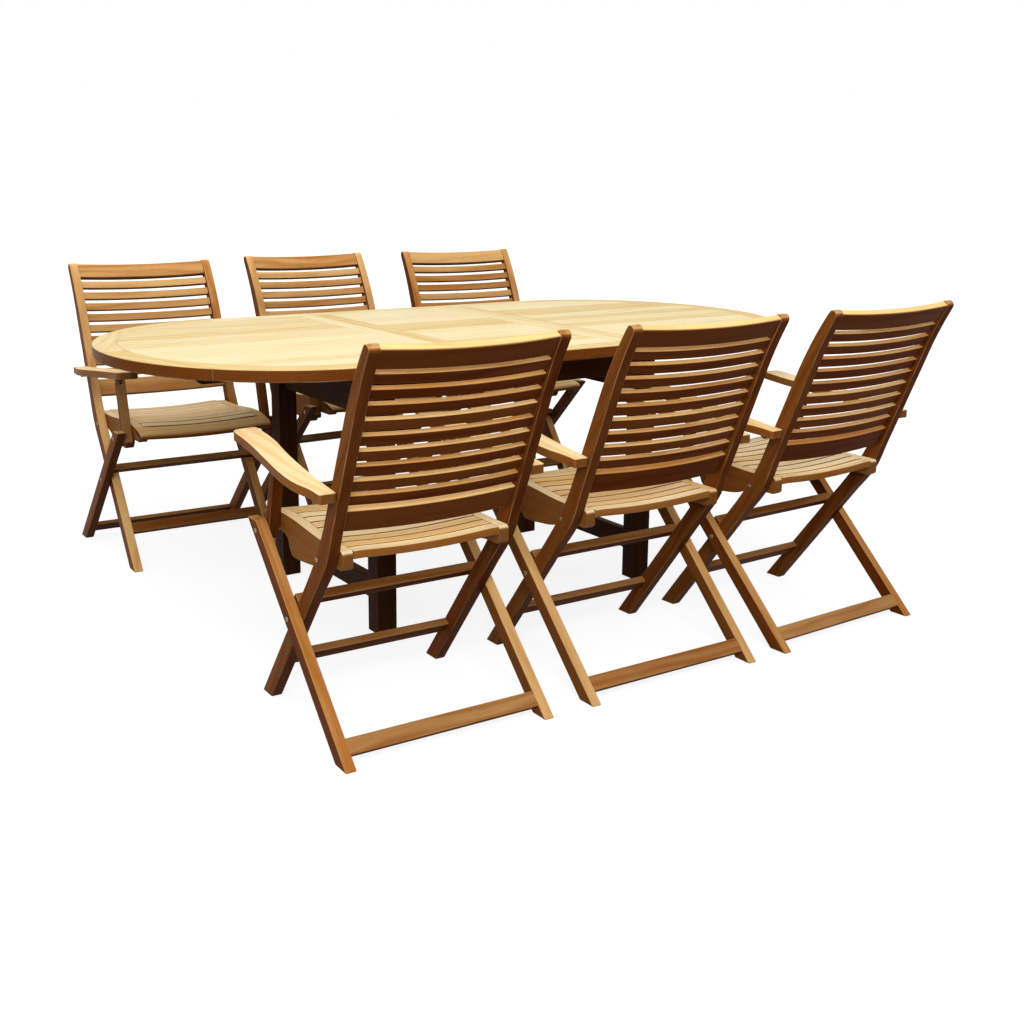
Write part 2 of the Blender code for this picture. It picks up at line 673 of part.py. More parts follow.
def front_board():
    """The wide board across the front, over the rails' ends and the rod, its nose rounded."""
    middle = FRONT_BOARD_Y + FRONT_BOARD_WIDTH / 2
    nose = SEAT_FRONT_Y - FRONT_BOARD_NOSE
    centre = seat_top(nose) - SEAT_SLAT_THICKNESS / 2
    half_round = [
        (nose + FRONT_BOARD_NOSE * cos(angle), centre + SEAT_SLAT_THICKNESS / 2 * sin(angle))
        for angle in (radians(a) for a in (-90, -40, 0, 40, 90))
    ]
    section = [
        (FRONT_BOARD_Y, seat_top(FRONT_BOARD_Y) - SEAT_SLAT_THICKNESS),
        (middle, seat_top(middle) - SEAT_SLAT_THICKNESS),
        *half_round,
        (middle, seat_top(middle)),
        (FRONT_BOARD_Y, seat_top(FRONT_BOARD_Y)),
    ]
    return swept_bar(section, SEAT_HALF_WIDTH, BOW_SEGMENTS, hollow)


def seat():
    shapes = []
    outline = seat_rail_outline()
    outer = SEAT_HALF_WIDTH
    inner = outer - SEAT_RAIL_THICKNESS
    for side in (-1, 1):
        shapes.append(prism(outline, side * inner, side * outer))
        shapes.append(pin(SEAT_PIVOT, BOLT_RADIUS, side * (inner + EMBED), side * LEG_OUTER_X))
    shapes += [seat_slat(i) for i in range(SEAT_SLATS)]
    shapes.append(front_board())
    return fuse("seat", shapes)


# ================================================================ chair: arms and posts
def arm_outline(side):
    """An arm seen from above: rounded front, full outer edge, narrow rear by the leg."""
    length = ARM_FRONT_Y - ARM_REAR_Y
    swell = ARM_WAIST_OUTER_X - LEG_INNER_X

    def arm_at(across, along):
        return (LEG_INNER_X + swell * across, ARM_REAR_Y + length * along)

    beside_leg = arm_at(0, 0.16)[1]
    inner = [
        (ARM_FRONT_INNER_X, ARM_FRONT_Y - ARM_CORNER),
        arm_at(0.006, 0.792),
        arm_at(0.158, 0.585),
        arm_at(0.244, 0.440),
        arm_at(0.305, 0.274),
        (REAR_LEG_INNER_X, beside_leg),
        (REAR_LEG_INNER_X, ARM_REAR_Y),
    ]
    corner = ARM_CORNER * ARM_CORNER_CUT
    outer = [
        (ARM_REAR_OUTER_X - corner, ARM_REAR_Y),
        (ARM_REAR_OUTER_X, ARM_REAR_Y + corner),
        arm_at(0.835, 0.087),
        arm_at(0.963, 0.180),
        arm_at(1.0, 0.264),
        arm_at(0.976, 0.378),
        arm_at(0.890, 0.544),
        arm_at(0.793, 0.710),
        (ARM_FRONT_OUTER_X, arm_at(0, 0.844)[1]),
        (ARM_FRONT_OUTER_X, ARM_FRONT_Y - ARM_FRONT_SKEW - ARM_CORNER),
    ]
    front = [
        (ARM_FRONT_OUTER_X - corner, ARM_FRONT_Y - ARM_FRONT_SKEW - corner),
        (ARM_FRONT_OUTER_X - ARM_CORNER, ARM_FRONT_Y - ARM_FRONT_SKEW * (1 - ARM_CORNER_CUT)),
        (ARM_FRONT_INNER_X + ARM_CORNER, ARM_FRONT_Y),
        (ARM_FRONT_INNER_X + corner, ARM_FRONT_Y - corner),
    ]
    return [(side * x, y) for x, y in inner + outer + front]


def cleat(centre, root, low, high):
    """The block under an arm that takes a bolt: a rounded lug."""
    rear = centre.x - root
    front = centre.x + root
    points = [
        (rear, arm_underside(rear) + EMBED),
        (rear, arm_underside(rear) - CLEAT_SHOULDER),
    ]
    for i in range(5):
        angle = radians(200 + 35 * i)
        points.append((centre.x + CLEAT_RADIUS * cos(angle), centre.y + CLEAT_RADIUS * sin(angle)))
    points += [
        (front, arm_underside(front) - CLEAT_SHOULDER),
        (front, arm_underside(front) + EMBED),
    ]
    return prism(points, low, high)


def arm(side):
    """An arm board with a tongue for its post's fork and a rear cleat beside the long leg."""
    verts, faces = prism(arm_outline(side), -ARM_THICKNESS, 0.0, "Z")
    board = [Vector((v.x, v.y, v.z + ARM_TOP_AT_ORIGIN + ARM_SLOPE * v.y)) for v in verts]
    tongue_low = side * (LEG_INNER_X + FORK_CHEEK + LAYER_GAP)
    tongue_high = side * (LEG_OUTER_X - FORK_CHEEK - LAYER_GAP)
    shapes = [
        (board, faces),
        cleat(ARM_PIVOT, TONGUE_ROOT, tongue_low, tongue_high),
        cleat(ARM_BOLT, CLEAT_ROOT, side * REAR_LEG_INNER_X, side * REAR_LEG_OUTER_X),
    ]
    hole = pin(ARM_PIVOT, BOLT_HOLE_RADIUS, side * LEG_INNER_X, side * LEG_OUTER_X)
    return fuse("arm", shapes, [hole])


def arm_post(side):
    """The upright between an arm and the cross rod, with the arm's bolt across its fork."""
    up = (ARM_PIVOT - ROD).normalized()
    forward = forward_of(up)
    half = ARM_POST_WIDTH / 2
    points = []
    for i in range(5):
        angle = pi / 4 * i
        points.append(tuple(ARM_PIVOT + forward * half * cos(angle) + up * half * sin(angle)))
    tail = ROD - up * ARM_POST_TAIL
    for i in range(5):
        angle = pi + pi / 4 * i
        points.append(tuple(tail + forward * half * cos(angle) + up * half * sin(angle)))
    body = prism(points, side * LEG_INNER_X, side * LEG_OUTER_X)
    low = side * (LEG_INNER_X - EMBED)
    high = side * (LEG_OUTER_X + EMBED)
    rod_hole = pin(ROD, ROD_HOLE_RADIUS, low, high)
    fork_height = FORK_DEPTH + half + EMBED
    fork_middle = ARM_PIVOT + up * (fork_height / 2 - FORK_DEPTH)
    fork_section = slab(fork_middle, up, fork_height, ARM_POST_WIDTH + 2 * EMBED)
    fork_low = side * (LEG_INNER_X + FORK_CHEEK)
    fork_high = side * (LEG_OUTER_X - FORK_CHEEK)
    fork = prism(fork_section, fork_low, fork_high)
    bolt_low = side * (LEG_INNER_X + EMBED)
    bolt_high = side * (LEG_OUTER_X - EMBED)
    bolt = pin(ARM_PIVOT, BOLT_RADIUS, bolt_low, bolt_high)
    return fuse("arm_post", [body], [rod_hole, fork], [bolt])


# ================================================================ the set
def add_place(name, location, turn, parent):
    place = bpy.data.objects.new(name, None)
    bpy.context.collection.objects.link(place)
    place.parent = parent
    place.location = location
    place.rotation_euler = (0, 0, radians(turn))
    return place


def build_chairs(set_place):
    pieces = {
        "frame": (chair_frame(), "teak", along_y((0, 0))),
        "rear_legs": (rear_legs(), "teak", along_y(FOLD_PIVOT)),
        "seat": (seat(), "lit_teak", along_y(SEAT_PIVOT)),
        "right_arm": (arm(1), "lit_teak", along_y(ARM_PIVOT)),
        "left_arm": (arm(-1), "lit_teak", along_y(ARM_PIVOT)),
        "right_arm_post": (arm_post(1), "teak", along_y(ROD)),
        "left_arm_post": (arm_post(-1), "teak", along_y(ROD)),
    }
    for chair, x, y, turn in CHAIR_PLACES:
        place = add_place(chair + "_place", (x, y, 0), turn, set_place)
        for name, (mesh, wood_name, origin) in pieces.items():
            add_node(f"{chair}_{name}", mesh, wood_name, origin, place)
    for mesh, _, _ in pieces.values():
        bpy.data.meshes.remove(mesh)


clear_scene()
middle = add_place("set_place", (0, TABLE_Y, 0), 0, None)
build_table(middle)
build_chairs(middle)
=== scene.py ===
# %% [markdown]
# # A teak patio dining set
#
# An extending oval table stands between two rows of folding armchairs. The solid model of
# every piece is loaded first as a fixed frame: it says where each board lies and which body
# it moves with. This lesson then makes each board again with softened edges, lays the grain
# of the wood along it, and lets it ride on the body of the same name.

import json
from math import asin, cos, pi, radians, sin, tan
from random import Random

import bmesh
import bpy
from mathutils import Matrix, Vector
from mathutils.geometry import interpolate_bezier


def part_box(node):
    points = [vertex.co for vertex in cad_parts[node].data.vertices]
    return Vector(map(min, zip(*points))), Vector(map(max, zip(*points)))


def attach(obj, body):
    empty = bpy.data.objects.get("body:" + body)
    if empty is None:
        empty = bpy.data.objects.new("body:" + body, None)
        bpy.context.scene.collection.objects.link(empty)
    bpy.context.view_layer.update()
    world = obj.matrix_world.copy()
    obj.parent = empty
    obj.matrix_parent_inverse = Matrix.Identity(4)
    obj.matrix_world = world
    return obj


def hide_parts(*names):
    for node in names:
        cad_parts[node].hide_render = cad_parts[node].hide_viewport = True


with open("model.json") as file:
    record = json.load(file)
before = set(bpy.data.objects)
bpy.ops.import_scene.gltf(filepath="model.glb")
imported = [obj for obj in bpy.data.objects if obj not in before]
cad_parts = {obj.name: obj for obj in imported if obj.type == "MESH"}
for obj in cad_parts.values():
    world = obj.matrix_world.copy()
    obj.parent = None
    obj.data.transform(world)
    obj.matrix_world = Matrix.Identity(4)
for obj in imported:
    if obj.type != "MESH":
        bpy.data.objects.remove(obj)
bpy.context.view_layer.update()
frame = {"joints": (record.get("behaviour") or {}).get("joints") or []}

# %% [markdown]
# ## Where the chairs stand
#
# A chair's own frame has x to its side, y forward and z up. Its folding joint is known in the
# room, and its bolt is known in the chair, so the two together give the chair's place. Every
# board of a chair is made once in the chair's frame and copied six times.

# %% Sizes of a chair's legs, in metres
FRONT_FOOT_Y = 0.2068
LOWER_LEAN = radians(37.8)
UPPER_LEAN = radians(22.9)
TOP_LEAN = radians(33.0)
REAR_FOOT_Y = -0.2396
REAR_LEAN = radians(45.8)
LOWER_UP = Vector((0, -sin(LOWER_LEAN), cos(LOWER_LEAN)))
UPPER_UP = Vector((0, -sin(UPPER_LEAN), cos(UPPER_LEAN)))
REAR_UP = Vector((0, sin(REAR_LEAN), cos(REAR_LEAN)))
ACROSS = Vector((1, 0, 0))


def side_view(y, z):
    """A point in a chair's own middle plane."""
    return Vector((0, y, z))


def rear_leg_middle(z):
    return side_view(REAR_FOOT_Y + tan(REAR_LEAN) * z, z)


FOLD_BOLT = rear_leg_middle((FRONT_FOOT_Y - REAR_FOOT_Y) / (tan(LOWER_LEAN) + tan(REAR_LEAN)))
print("the legs cross at", [round(v, 4) for v in FOLD_BOLT])

# %% The place of each chair
CHAIRS = [f"chair_{i}" for i in range(1, 7)]
joints = {joint["name"]: joint for joint in frame["joints"]}


def chair_place(chair):
    fold = joints[f"{chair}_fold"]
    across = Vector(fold["axis"]).normalized()
    forward = Vector((-across.y, across.x, 0))
    turn = Matrix((across, forward, Vector((0, 0, 1)))).transposed().to_4x4()
    return Matrix.Translation(Vector(fold["pos_m"])) @ turn @ Matrix.Translation(-FOLD_BOLT)


places = {chair: chair_place(chair) for chair in CHAIRS}
for chair, place in places.items():
    print(chair, [round(v, 3) for v in place.translation])

# %% [markdown]
# ## Camera
#
# The set is seen from behind the near chairs and a little above the table, from the left. The
# camera is turned about the upright axis, tipped down, and rolled by less than a degree.

# %% Camera
CAMERA_AT = Vector((-1.9877, -3.2302, 1.2164))
YAW = radians(34.884)
DOWN = radians(12.376)
ROLL = radians(0.764)
SENSOR_MM = 36
LENS_MM = 45.12
SHIFT_ACROSS = -0.010
SHIFT_UP = -0.0634

ahead = Vector((sin(YAW) * cos(DOWN), cos(YAW) * cos(DOWN), -sin(DOWN)))
level = Vector((cos(YAW), -sin(YAW), 0))
upright = level.cross(ahead)
right = level * cos(ROLL) + upright * sin(ROLL)
up = upright * cos(ROLL) - level * sin(ROLL)

lens = bpy.data.cameras.new("camera")
lens.sensor_width = SENSOR_MM
lens.lens = LENS_MM
lens.shift_x = SHIFT_ACROSS
lens.shift_y = SHIFT_UP
camera = bpy.data.objects.new("camera", lens)
turn = Matrix((right, up, -ahead)).transposed().to_4x4()
camera.matrix_world = Matrix.Translation(CAMERA_AT) @ turn
bpy.context.scene.collection.objects.link(camera)
bpy.context.scene.camera = camera
print("the camera is", round(CAMERA_AT.length, 2), "m from the middle of the floor")

# %% [markdown]
# ## Boards
#
# Outdoor furniture is planed, then its sharp edges are eased with a router. A board here is
# either a cube scaled to size or an outline extruded to its thickness, and one bevel eases the
# edges. The points in the middle of a bevel are marked as edge, because that is where hands
# and weather wear the oil off first.

# %% Round some edges
def round_edges(board, edges, width, steps):
    return bmesh.ops.bevel(
        board, geom=edges, offset=width, offset_type="OFFSET", affect="EDGES",
        segments=steps, profile=0.5, material=-1, clamp_overlap=True,
    )


# %% Ease the sharp edges
def ease(board, width, steps=2, sharp=25, edges=None):
    """Bevels the sharp edges, or the given ones, and marks the middle of each bevel."""
    edge = board.verts.layers.float.get("edge") or board.verts.layers.float.new("edge")
    if edges is None:
        edges = [e for e in board.edges if e.is_manifold and e.calc_face_angle() > radians(sharp)]
    made = round_edges(board, edges, width, steps)
    rounded = set(made["faces"])
    for vert in made["verts"]:
        vert[edge] = float(all(face in rounded for face in vert.link_faces))


# %% A board from an outline
def cut_board(outline, thickness):
    """A closed outline of points, extruded along a vector."""
    board = bmesh.new()
    face = board.faces.new([board.verts.new(point) for point in outline])
    made = bmesh.ops.extrude_face_region(board, geom=[face])
    moved = [item for item in made["geom"] if isinstance(item, bmesh.types.BMVert)]
    bmesh.ops.translate(board, vec=thickness, verts=moved)
    bmesh.ops.recalc_face_normals(board, faces=board.faces)
    return board


# %% A square board
def plane_board(size, at=(0, 0, 0)):
    """A cube scaled to a board's size and moved to its middle."""
    board = bmesh.new()
    bmesh.ops.create_cube(board, size=1)
    bmesh.ops.scale(board, vec=size, verts=board.verts)
    bmesh.ops.translate(board, vec=at, verts=board.verts)
    return board


def box_board(low, high):
    return plane_board(Vector(high) - Vector(low), (Vector(low) + Vector(high)) / 2)


# %% A cut through a board
def cut(board, at, facing, keep_both=True):
    """Cuts a board along a plane, and drops what lies beyond it if only one side is kept."""
    geometry = board.verts[:] + board.edges[:] + board.faces[:]
    bmesh.ops.bisect_plane(
        board, geom=geometry, plane_co=at, plane_no=facing, clear_outer=not keep_both,
    )


# %% [markdown]
# ## Grain that follows each board
#
# Wood is sawn along the trunk, so the grain runs the length of every board, whichever way the
# board is turned. Each point of a board therefore keeps its place in the board's own frame:
# along, across and through it. The material reads these numbers, so the pattern also stays
# put when the chair folds. A second attribute holds the board's half sizes, which tells the
# material how near an end is, a third is one random number a board, and a fourth, the lit
# share, says how much of the pale upward tone a board gets. That tone is painted light from
# above, so boards low down get less of it, and their shade under the others is painted in.

# %% Lay the grain
boards = Random(11)


def lay_grain(board, along, through, lit_share=1.0):
    """Writes each point's place in its board, the board's half sizes, its number and lit share."""
    place = board.verts.layers.float_vector.new("grain")
    halves = board.verts.layers.float_vector.new("half")
    number = board.verts.layers.float.new("board")
    lit_layer = board.verts.layers.float.new("lit_share")
    along = Vector(along).normalized()
    through = Vector(through).normalized()
    axes = (along, through.cross(along), through)
    spots = [Vector([v.co.dot(axis) for axis in axes]) for v in board.verts]
    low = Vector([min(s[i] for s in spots) for i in range(3)])
    high = Vector([max(s[i] for s in spots) for i in range(3)])
    own = boards.random()
    for vert, spot in zip(board.verts, spots):
        vert[place] = spot - (low + high) / 2
        vert[halves] = (high - low) / 2
        vert[number] = own
        # The lit share scales the painted light of the pale upward tone, and below 1 it paints
        # shade.
        vert[lit_layer] = lit_share
    return board


# %% [markdown]
# ## From boards to a piece
#
# Boards that are glued or screwed together become one mesh, which rides on one body. Every
# face is shaded smooth, and a Weighted Normal modifier lets the wide faces decide the shading,
# so flat faces look flat and only the eased edges turn the light.

# %% Put boards together as one piece
def glue_up(name, made):
    """Joins boards into one mesh. They stay separate shells, as on the real piece."""
    whole = bmesh.new()
    for board in made:
        step = bpy.data.meshes.new("step")
        board.to_mesh(step)
        board.free()
        whole.from_mesh(step)
        bpy.data.meshes.remove(step)
    mesh = bpy.data.meshes.new(name)
    whole.to_mesh(mesh)
    whole.free()
    mesh.shade_smooth()
    return mesh


def add_piece(name, mesh, material, body, nodes=()):
    piece = bpy.data.objects.new(name, mesh)
    bpy.context.scene.collection.objects.link(piece)
    mesh.materials.clear()
    mesh.materials.append(material)
    piece.modifiers.new("flat faces", "WEIGHTED_NORMAL")
    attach(piece, body)
    if nodes:
        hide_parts(*nodes)
    return piece


# %% [markdown]
# ## Teak
#
# Oiled teak is honey to mid brown. Its growth rings show as soft darker streaks that wander
# along the board, with fine dark pores between them. Each board has its own tone. Light and
# shade are also painted into the colour: faces that look up are painted pale, as if lit from
# above, and faces that look down are painted dark, as if in shade. Eased edges are a little
# worn, and ends drink more oil and go dark. The maths is easier to read as Python, so a small
# class wraps a socket and adds the Math nodes.

# %% Sums that build nodes
class Wire:
    """A socket or number in a material that can be added, multiplied and compared."""

    def __init__(self, tree, socket):
        self.tree = tree
        self.socket = socket

    def node(self, kind, settings=None, output=0, **values):
        made = self.tree.nodes.new(kind)
        for key, value in (settings or {}).items():
            setattr(made, key, value)
        for key, value in values.items():
            name = key.replace("_", " ")
            spot = made.inputs[int(key[2:]) if key.startswith("in") and key[2:].isdigit() else name]
            if isinstance(value, Wire):
                self.tree.links.new(value.socket, spot)
            else:
                spot.default_value = value
        return Wire(self.tree, made.outputs[output])

    def parts(self):
        """The three numbers of a vector."""
        split = self.node("ShaderNodeSeparateXYZ", Vector=self).socket.node
        return [Wire(self.tree, socket) for socket in split.outputs]

    def maths(self, operation, a, b=0.0):
        return self.node("ShaderNodeMath", {"operation": operation}, in0=a, in1=b)

    def __add__(self, other):
        return self.maths("ADD", self, other)

    def __sub__(self, other):
        return self.maths("SUBTRACT", self, other)

    def __rsub__(self, other):
        return self.maths("SUBTRACT", other, self)

    def __mul__(self, other):
        return self.maths("MULTIPLY", self, other)

    def __abs__(self):
        return self.maths("ABSOLUTE", self)

    def __pow__(self, other):
        return self.maths("POWER", self, other)

    __radd__ = __add__
    __rmul__ = __mul__

    def sine(self):
        return self.maths("SINE", self)

    def greater(self, other):
        return self.maths("MAXIMUM", self, other)

    def ramp(self, low, high):
        """0 below low, 1 above high, and smooth between."""
        settings = {"interpolation_type": "SMOOTHSTEP"}
        return self.node("ShaderNodeMapRange", settings, Value=self, From_Min=low, From_Max=high)


# %% Colours between two others
def blend(wire, share, first, second):
    """A colour that goes from first to second as share goes from 0 to 1."""
    settings = {"data_type": "RGBA"}
    return wire.node("ShaderNodeMix", settings, output=2, in0=share, in6=first, in7=second)


def noise(wire, place, scale, detail=3.0, rough=0.55):
    return wire.node(
        "ShaderNodeTexNoise", Vector=place, Scale=scale, Detail=detail, Roughness=rough,
    )


# %% The pattern of the grain
def grain_pattern(wire, along, across, through, board):
    """Streaks, growth rings, pores and blotches, all drawn out along the board."""
    sway = wire.node(
        "ShaderNodeCombineXYZ",
        X=along * 1.6 + board * 31,
        Y=across * 9,
        Z=through * 9 + board * 17,
    )
    wander = noise(wire, sway, 1.0, detail=2.0)
    lines = wire.node(
        "ShaderNodeCombineXYZ",
        X=along * 3.2 + board * 53,
        Y=across * 62 + wander * 5,
        Z=through * 62 + board * 29,
    )
    streak = noise(wire, lines, 1.0, detail=4.0, rough=0.6)
    ring = ((across * 210 + through * 120 + wander * 22 + board * 40).sine() * 0.5 + 0.5) ** 2.0
    hairs = wire.node(
        "ShaderNodeCombineXYZ", X=along * 22 + board * 9, Y=across * 720, Z=through * 720,
    )
    pores = noise(wire, hairs, 1.0, detail=2.0).ramp(0.60, 0.74)
    clouds = wire.node("ShaderNodeCombineXYZ", X=along * 5, Y=across * 14, Z=board * 23)
    return streak, ring, pores, noise(wire, clouds, 1.0, detail=2.0)


# %% The teak material
# Oil that has soaked in hardly mirrors the sky, so very little is left of the usual 0.5.
SHEEN = 0.02


def teak(name, up, side, under, vein, dark, gloss):
    """Oiled teak: tones painted lit above, mid at the side and shaded below, veins, pores, gloss.
    """
    material = bpy.data.materials.new(name)
    material.use_nodes = True
    tree = material.node_tree
    shader = tree.nodes["Principled BSDF"]
    start = Wire(tree, None)
    place = start.node("ShaderNodeAttribute", {"attribute_name": "grain"}, output=1)
    half = start.node("ShaderNodeAttribute", {"attribute_name": "half"}, output=1)
    board = start.node("ShaderNodeAttribute", {"attribute_name": "board"}, output=2)
    edge = start.node("ShaderNodeAttribute", {"attribute_name": "edge"}, output=2)
    lit_share = start.node("ShaderNodeAttribute", {"attribute_name": "lit_share"}, output=2)
    along, across, through = place.parts()
    half_along = half.parts()[0]
    facing_up = start.node("ShaderNodeTexCoord", output=1).parts()[2]
    streak, ring, pores, blotch = grain_pattern(start, along, across, through, board)

    # Painted light and shade: the dark under tone on faces that look down, the side tone between.
    base = blend(start, facing_up.ramp(-0.5, 0.1), under, side)
    # Painted light from above: the pale up tone on faces that look up, scaled by the lit share.
    base = blend(start, facing_up.ramp(0.0, 0.85) * lit_share, base, up)
    tone = (board * 0.62 + streak * 0.75 + ring * 0.22 + blotch * 0.25 - 0.45).ramp(0.10, 0.95)
    veined = start.node("ShaderNodeVectorMath", {"operation": "MULTIPLY"}, in0=base, in1=vein)
    colour = blend(start, tone, base, veined)
    colour = blend(start, pores * 0.45, colour, dark)
    worn = edge * streak.ramp(0.3, 0.7)
    colour = blend(start, worn * 0.30, colour, up)
    end = 1 - (half_along - abs(along)).ramp(0.0006, 0.0016)
    colour = blend(start, end * 0.5, colour, dark)

    rough = gloss + streak * 0.16 + pores * 0.14 + worn * 0.08
    height = streak * 0.5 + ring * 0.15 - pores * 0.9
    bump = start.node("ShaderNodeBump", Strength=0.22, Distance=0.0006, Height=height)
    shader.inputs["Specular IOR Level"].default_value = SHEEN
    tree.links.new(colour.socket, shader.inputs["Base Color"])
    tree.links.new(rough.socket, shader.inputs["Roughness"])
    tree.links.new(bump.socket, shader.inputs["Normal"])
    print(name, "has", len(tree.nodes), "nodes")
    return material


# %% The four tones of teak
PORES = (0.07, 0.026, 0.008, 1)
top_teak = teak(
    "top_teak",
    up=(0.92, 0.78, 0.46, 1), side=(0.18, 0.060, 0.013, 1), under=(0.10, 0.033, 0.008, 1),
    vein=(0.84, 0.68, 0.40), dark=(0.30, 0.17, 0.07, 1), gloss=0.32,
)
# A paler copy of the chair's teak, which paints the light that the seats and arms catch.
lit_honey_teak = teak(
    "lit_honey_teak",
    up=(1.0, 0.77, 0.44, 1), side=(0.30, 0.118, 0.026, 1), under=(0.10, 0.030, 0.006, 1),
    vein=(0.86, 0.65, 0.38), dark=PORES, gloss=0.32,
)
brown_teak = teak(
    "brown_teak",
    up=(1.0, 0.62, 0.25, 1), side=(0.215, 0.070, 0.013, 1), under=(0.096, 0.026, 0.005, 1),
    vein=(0.62, 0.39, 0.20), dark=PORES, gloss=0.40,
)
# A much darker copy of the teak for the table's frame, painting the shade under the top.
shade_teak = teak(
    "shade_teak",
    up=(0.13, 0.055, 0.018, 1), side=(0.050, 0.017, 0.006, 1), under=(0.03, 0.010, 0.004, 1),
    vein=(0.60, 0.50, 0.40), dark=(0.045, 0.018, 0.008, 1), gloss=0.42,
)

# %% Metal of the bolts
BRASS = (0.36, 0.26, 0.13, 1)
TARNISH = (0.16, 0.11, 0.06, 1)
brass = bpy.data.materials.new("bolt_brass")
brass.use_nodes = True
brass_tree = brass.node_tree
brass_start = Wire(brass_tree, None)
rubbed = noise(brass_start, brass_start.node("ShaderNodeTexCoord", output=3), 260.0)
brass_shader = brass_tree.nodes["Principled BSDF"]
brass_shader.inputs["Metallic"].default_value = 1.0
brass_colour = blend(brass_start, rubbed.ramp(0.35, 0.7), BRASS, TARNISH)
brass_tree.links.new(brass_colour.socket, brass_shader.inputs["Base Color"])
brass_tree.links.new((rubbed * 0.3 + 0.25).socket, brass_shader.inputs["Roughness"])
print("bolt_brass has", len(brass_tree.nodes), "nodes")

# %% [markdown]
# ## Table frame
#
# Four square legs carry two deep end rails and two long rails, and a low rail joins the legs
# at each end. These are plain boards, so a box from the frame gives each one its size.

# %% Legs and rails
SIDES = {"left": -1, "right": 1}
SQUARE_EDGE = 0.002
SMALL_EDGE = 0.0015


def framed(node, along, through, edge):
    low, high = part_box(node)
    board = box_board(low, high)
    ease(board, edge)
    return lay_grain(board, along, through)


def add_frame_board(node, board):
    """One board of the table's frame, as a piece of its own."""
    mesh = glue_up(node + "_board", [board])
    # The frame's boards take the darker teak copy, with the shade under the top painted in.
    add_piece(node + "_board", mesh, shade_teak, "table_frame", [node])


for end in SIDES:
    for row in ("near", "far"):
        node = f"table_{end}_{row}_leg"
        add_frame_board(node, framed(node, (0, 0, 1), (0, 1, 0), SQUARE_EDGE))
    node = f"table_{end}_low_rail"
    add_frame_board(node, framed(node, (0, 1, 0), (1, 0, 0), SQUARE_EDGE))
for row in ("near", "far"):
    node = f"table_{row}_long_rail"
    add_frame_board(node, framed(node, (1, 0, 0), (0, 1, 0), SMALL_EDGE))
table_low, table_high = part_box("table_left_near_leg")
print("a table leg is", round((table_high.x - table_low.x) * 1000), "mm square")

# %% [markdown]
# ## End rails and runners
#
# Two runners under each end leaf slide in notches in the end rail when the table is drawn
# out. The notches are cut from above, so the rail's outline steps round each runner. A
# runner's outer end is cut off at a slant, to keep it out of sight and off the knees.

# %% End rails
NOTCH_PLAY = 0.0006
NOTCH_EDGE = 0.0012


def notched_rail(end):
    low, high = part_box(f"table_{end}_end_rail")
    outline = [(low.x, low.y, low.z), (low.x, low.y, high.z)]
    for row in ("near", "far"):
        near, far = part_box(f"table_{end}_{row}_runner")
        start, stop, floor = near.y - NOTCH_PLAY, far.y + NOTCH_PLAY, near.z - NOTCH_PLAY
        outline += [(low.x, start, high.z), (low.x, start, floor)]
        outline += [(low.x, stop, floor), (low.x, stop, high.z)]
    outline += [(low.x, high.y, high.z), (low.x, high.y, low.z)]
    rail = cut_board(outline, (high.x - low.x, 0, 0))
    ease(rail, NOTCH_EDGE)
    return lay_grain(rail, (0, 1, 0), (1, 0, 0))


for end in SIDES:
    add_frame_board(f"table_{end}_end_rail", notched_rail(end))

# %% Runners
NOSE = 0.018


def runner(end, row):
    side = SIDES[end]
    low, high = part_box(f"table_{end}_{row}_runner")
    outer, inner = (low.x, high.x) if side < 0 else (high.x, low.x)
    outline = [
        (inner, low.y, low.z), (outer - side * NOSE, low.y, low.z), (outer, low.y, low.z + NOSE),
        (outer, low.y, high.z), (inner, low.y, high.z),
    ]
    board = cut_board(outline, (0, high.y - low.y, 0))
    ease(board, SMALL_EDGE)
    return lay_grain(board, (1, 0, 0), (0, 0, 1))


for end in SIDES:
    for row in ("near", "far"):
        node = f"table_{end}_{row}_runner"
        mesh = glue_up(node + "_board", [runner(end, row)])
        # The runners take the same darker teak copy, with painted shade under the leaves.
        add_piece(node + "_board", mesh, shade_teak, f"table_{end}_top", [node])
print("4 runners,", round(NOSE * 1000), "mm noses")

# %% [markdown]
# ## Table top
#
# The top is glued from solid boards. A band of curved pieces runs round the outside, a cross
# board closes each leaf at the two seams, and narrow boards fill the field lengthwise. Making
# every board on its own gives each its own tone, and a fine eased edge draws the joints. The
# field boards under the round end are cut from one rounded panel with two planes each.

# %% The leaves' outline
top_low, top_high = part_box("table_middle_leaf")
end_low, end_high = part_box("table_right_leaf")
MIDDLE_Y = (top_low.y + top_high.y) / 2
HALF_WIDTH = (top_high.y - top_low.y) / 2
STRAIGHT = 0.578
BAND = 0.062
FIELD_HALF = HALF_WIDTH - BAND
SEAM_BOARD = 0.052
FIELD_BOARDS = 12
JOINT = 0.0001
OUTER_EDGE = 0.0035
JOINT_EDGE = 0.0007
reach = end_high.x - STRAIGHT


def rounded_end(angle, inset):
    """A point on the round end, moved square to the edge by the inset."""
    edge = Vector((reach * cos(angle), HALF_WIDTH * sin(angle), 0))
    outward = Vector((cos(angle) / reach, sin(angle) / HALF_WIDTH, 0)).normalized()
    return Vector((STRAIGHT, MIDDLE_Y, 0)) + edge - outward * inset


print("the round end is", round(reach, 3), "m deep and", round(2 * HALF_WIDTH, 3), "m wide")

# %% The parts of a leaf
def is_level(edge):
    return abs(edge.verts[0].co.z - edge.verts[1].co.z) < 1e-5


def ease_top(board, is_outer):
    """Rounds the outside edges well, and eases the rest just enough to draw the joints."""
    outside = [e for e in board.edges if is_level(e) and all(is_outer(v.co) for v in e.verts)]
    if outside:
        ease(board, OUTER_EDGE, steps=3, edges=outside)
    ease(board, JOINT_EDGE, steps=1, sharp=40)


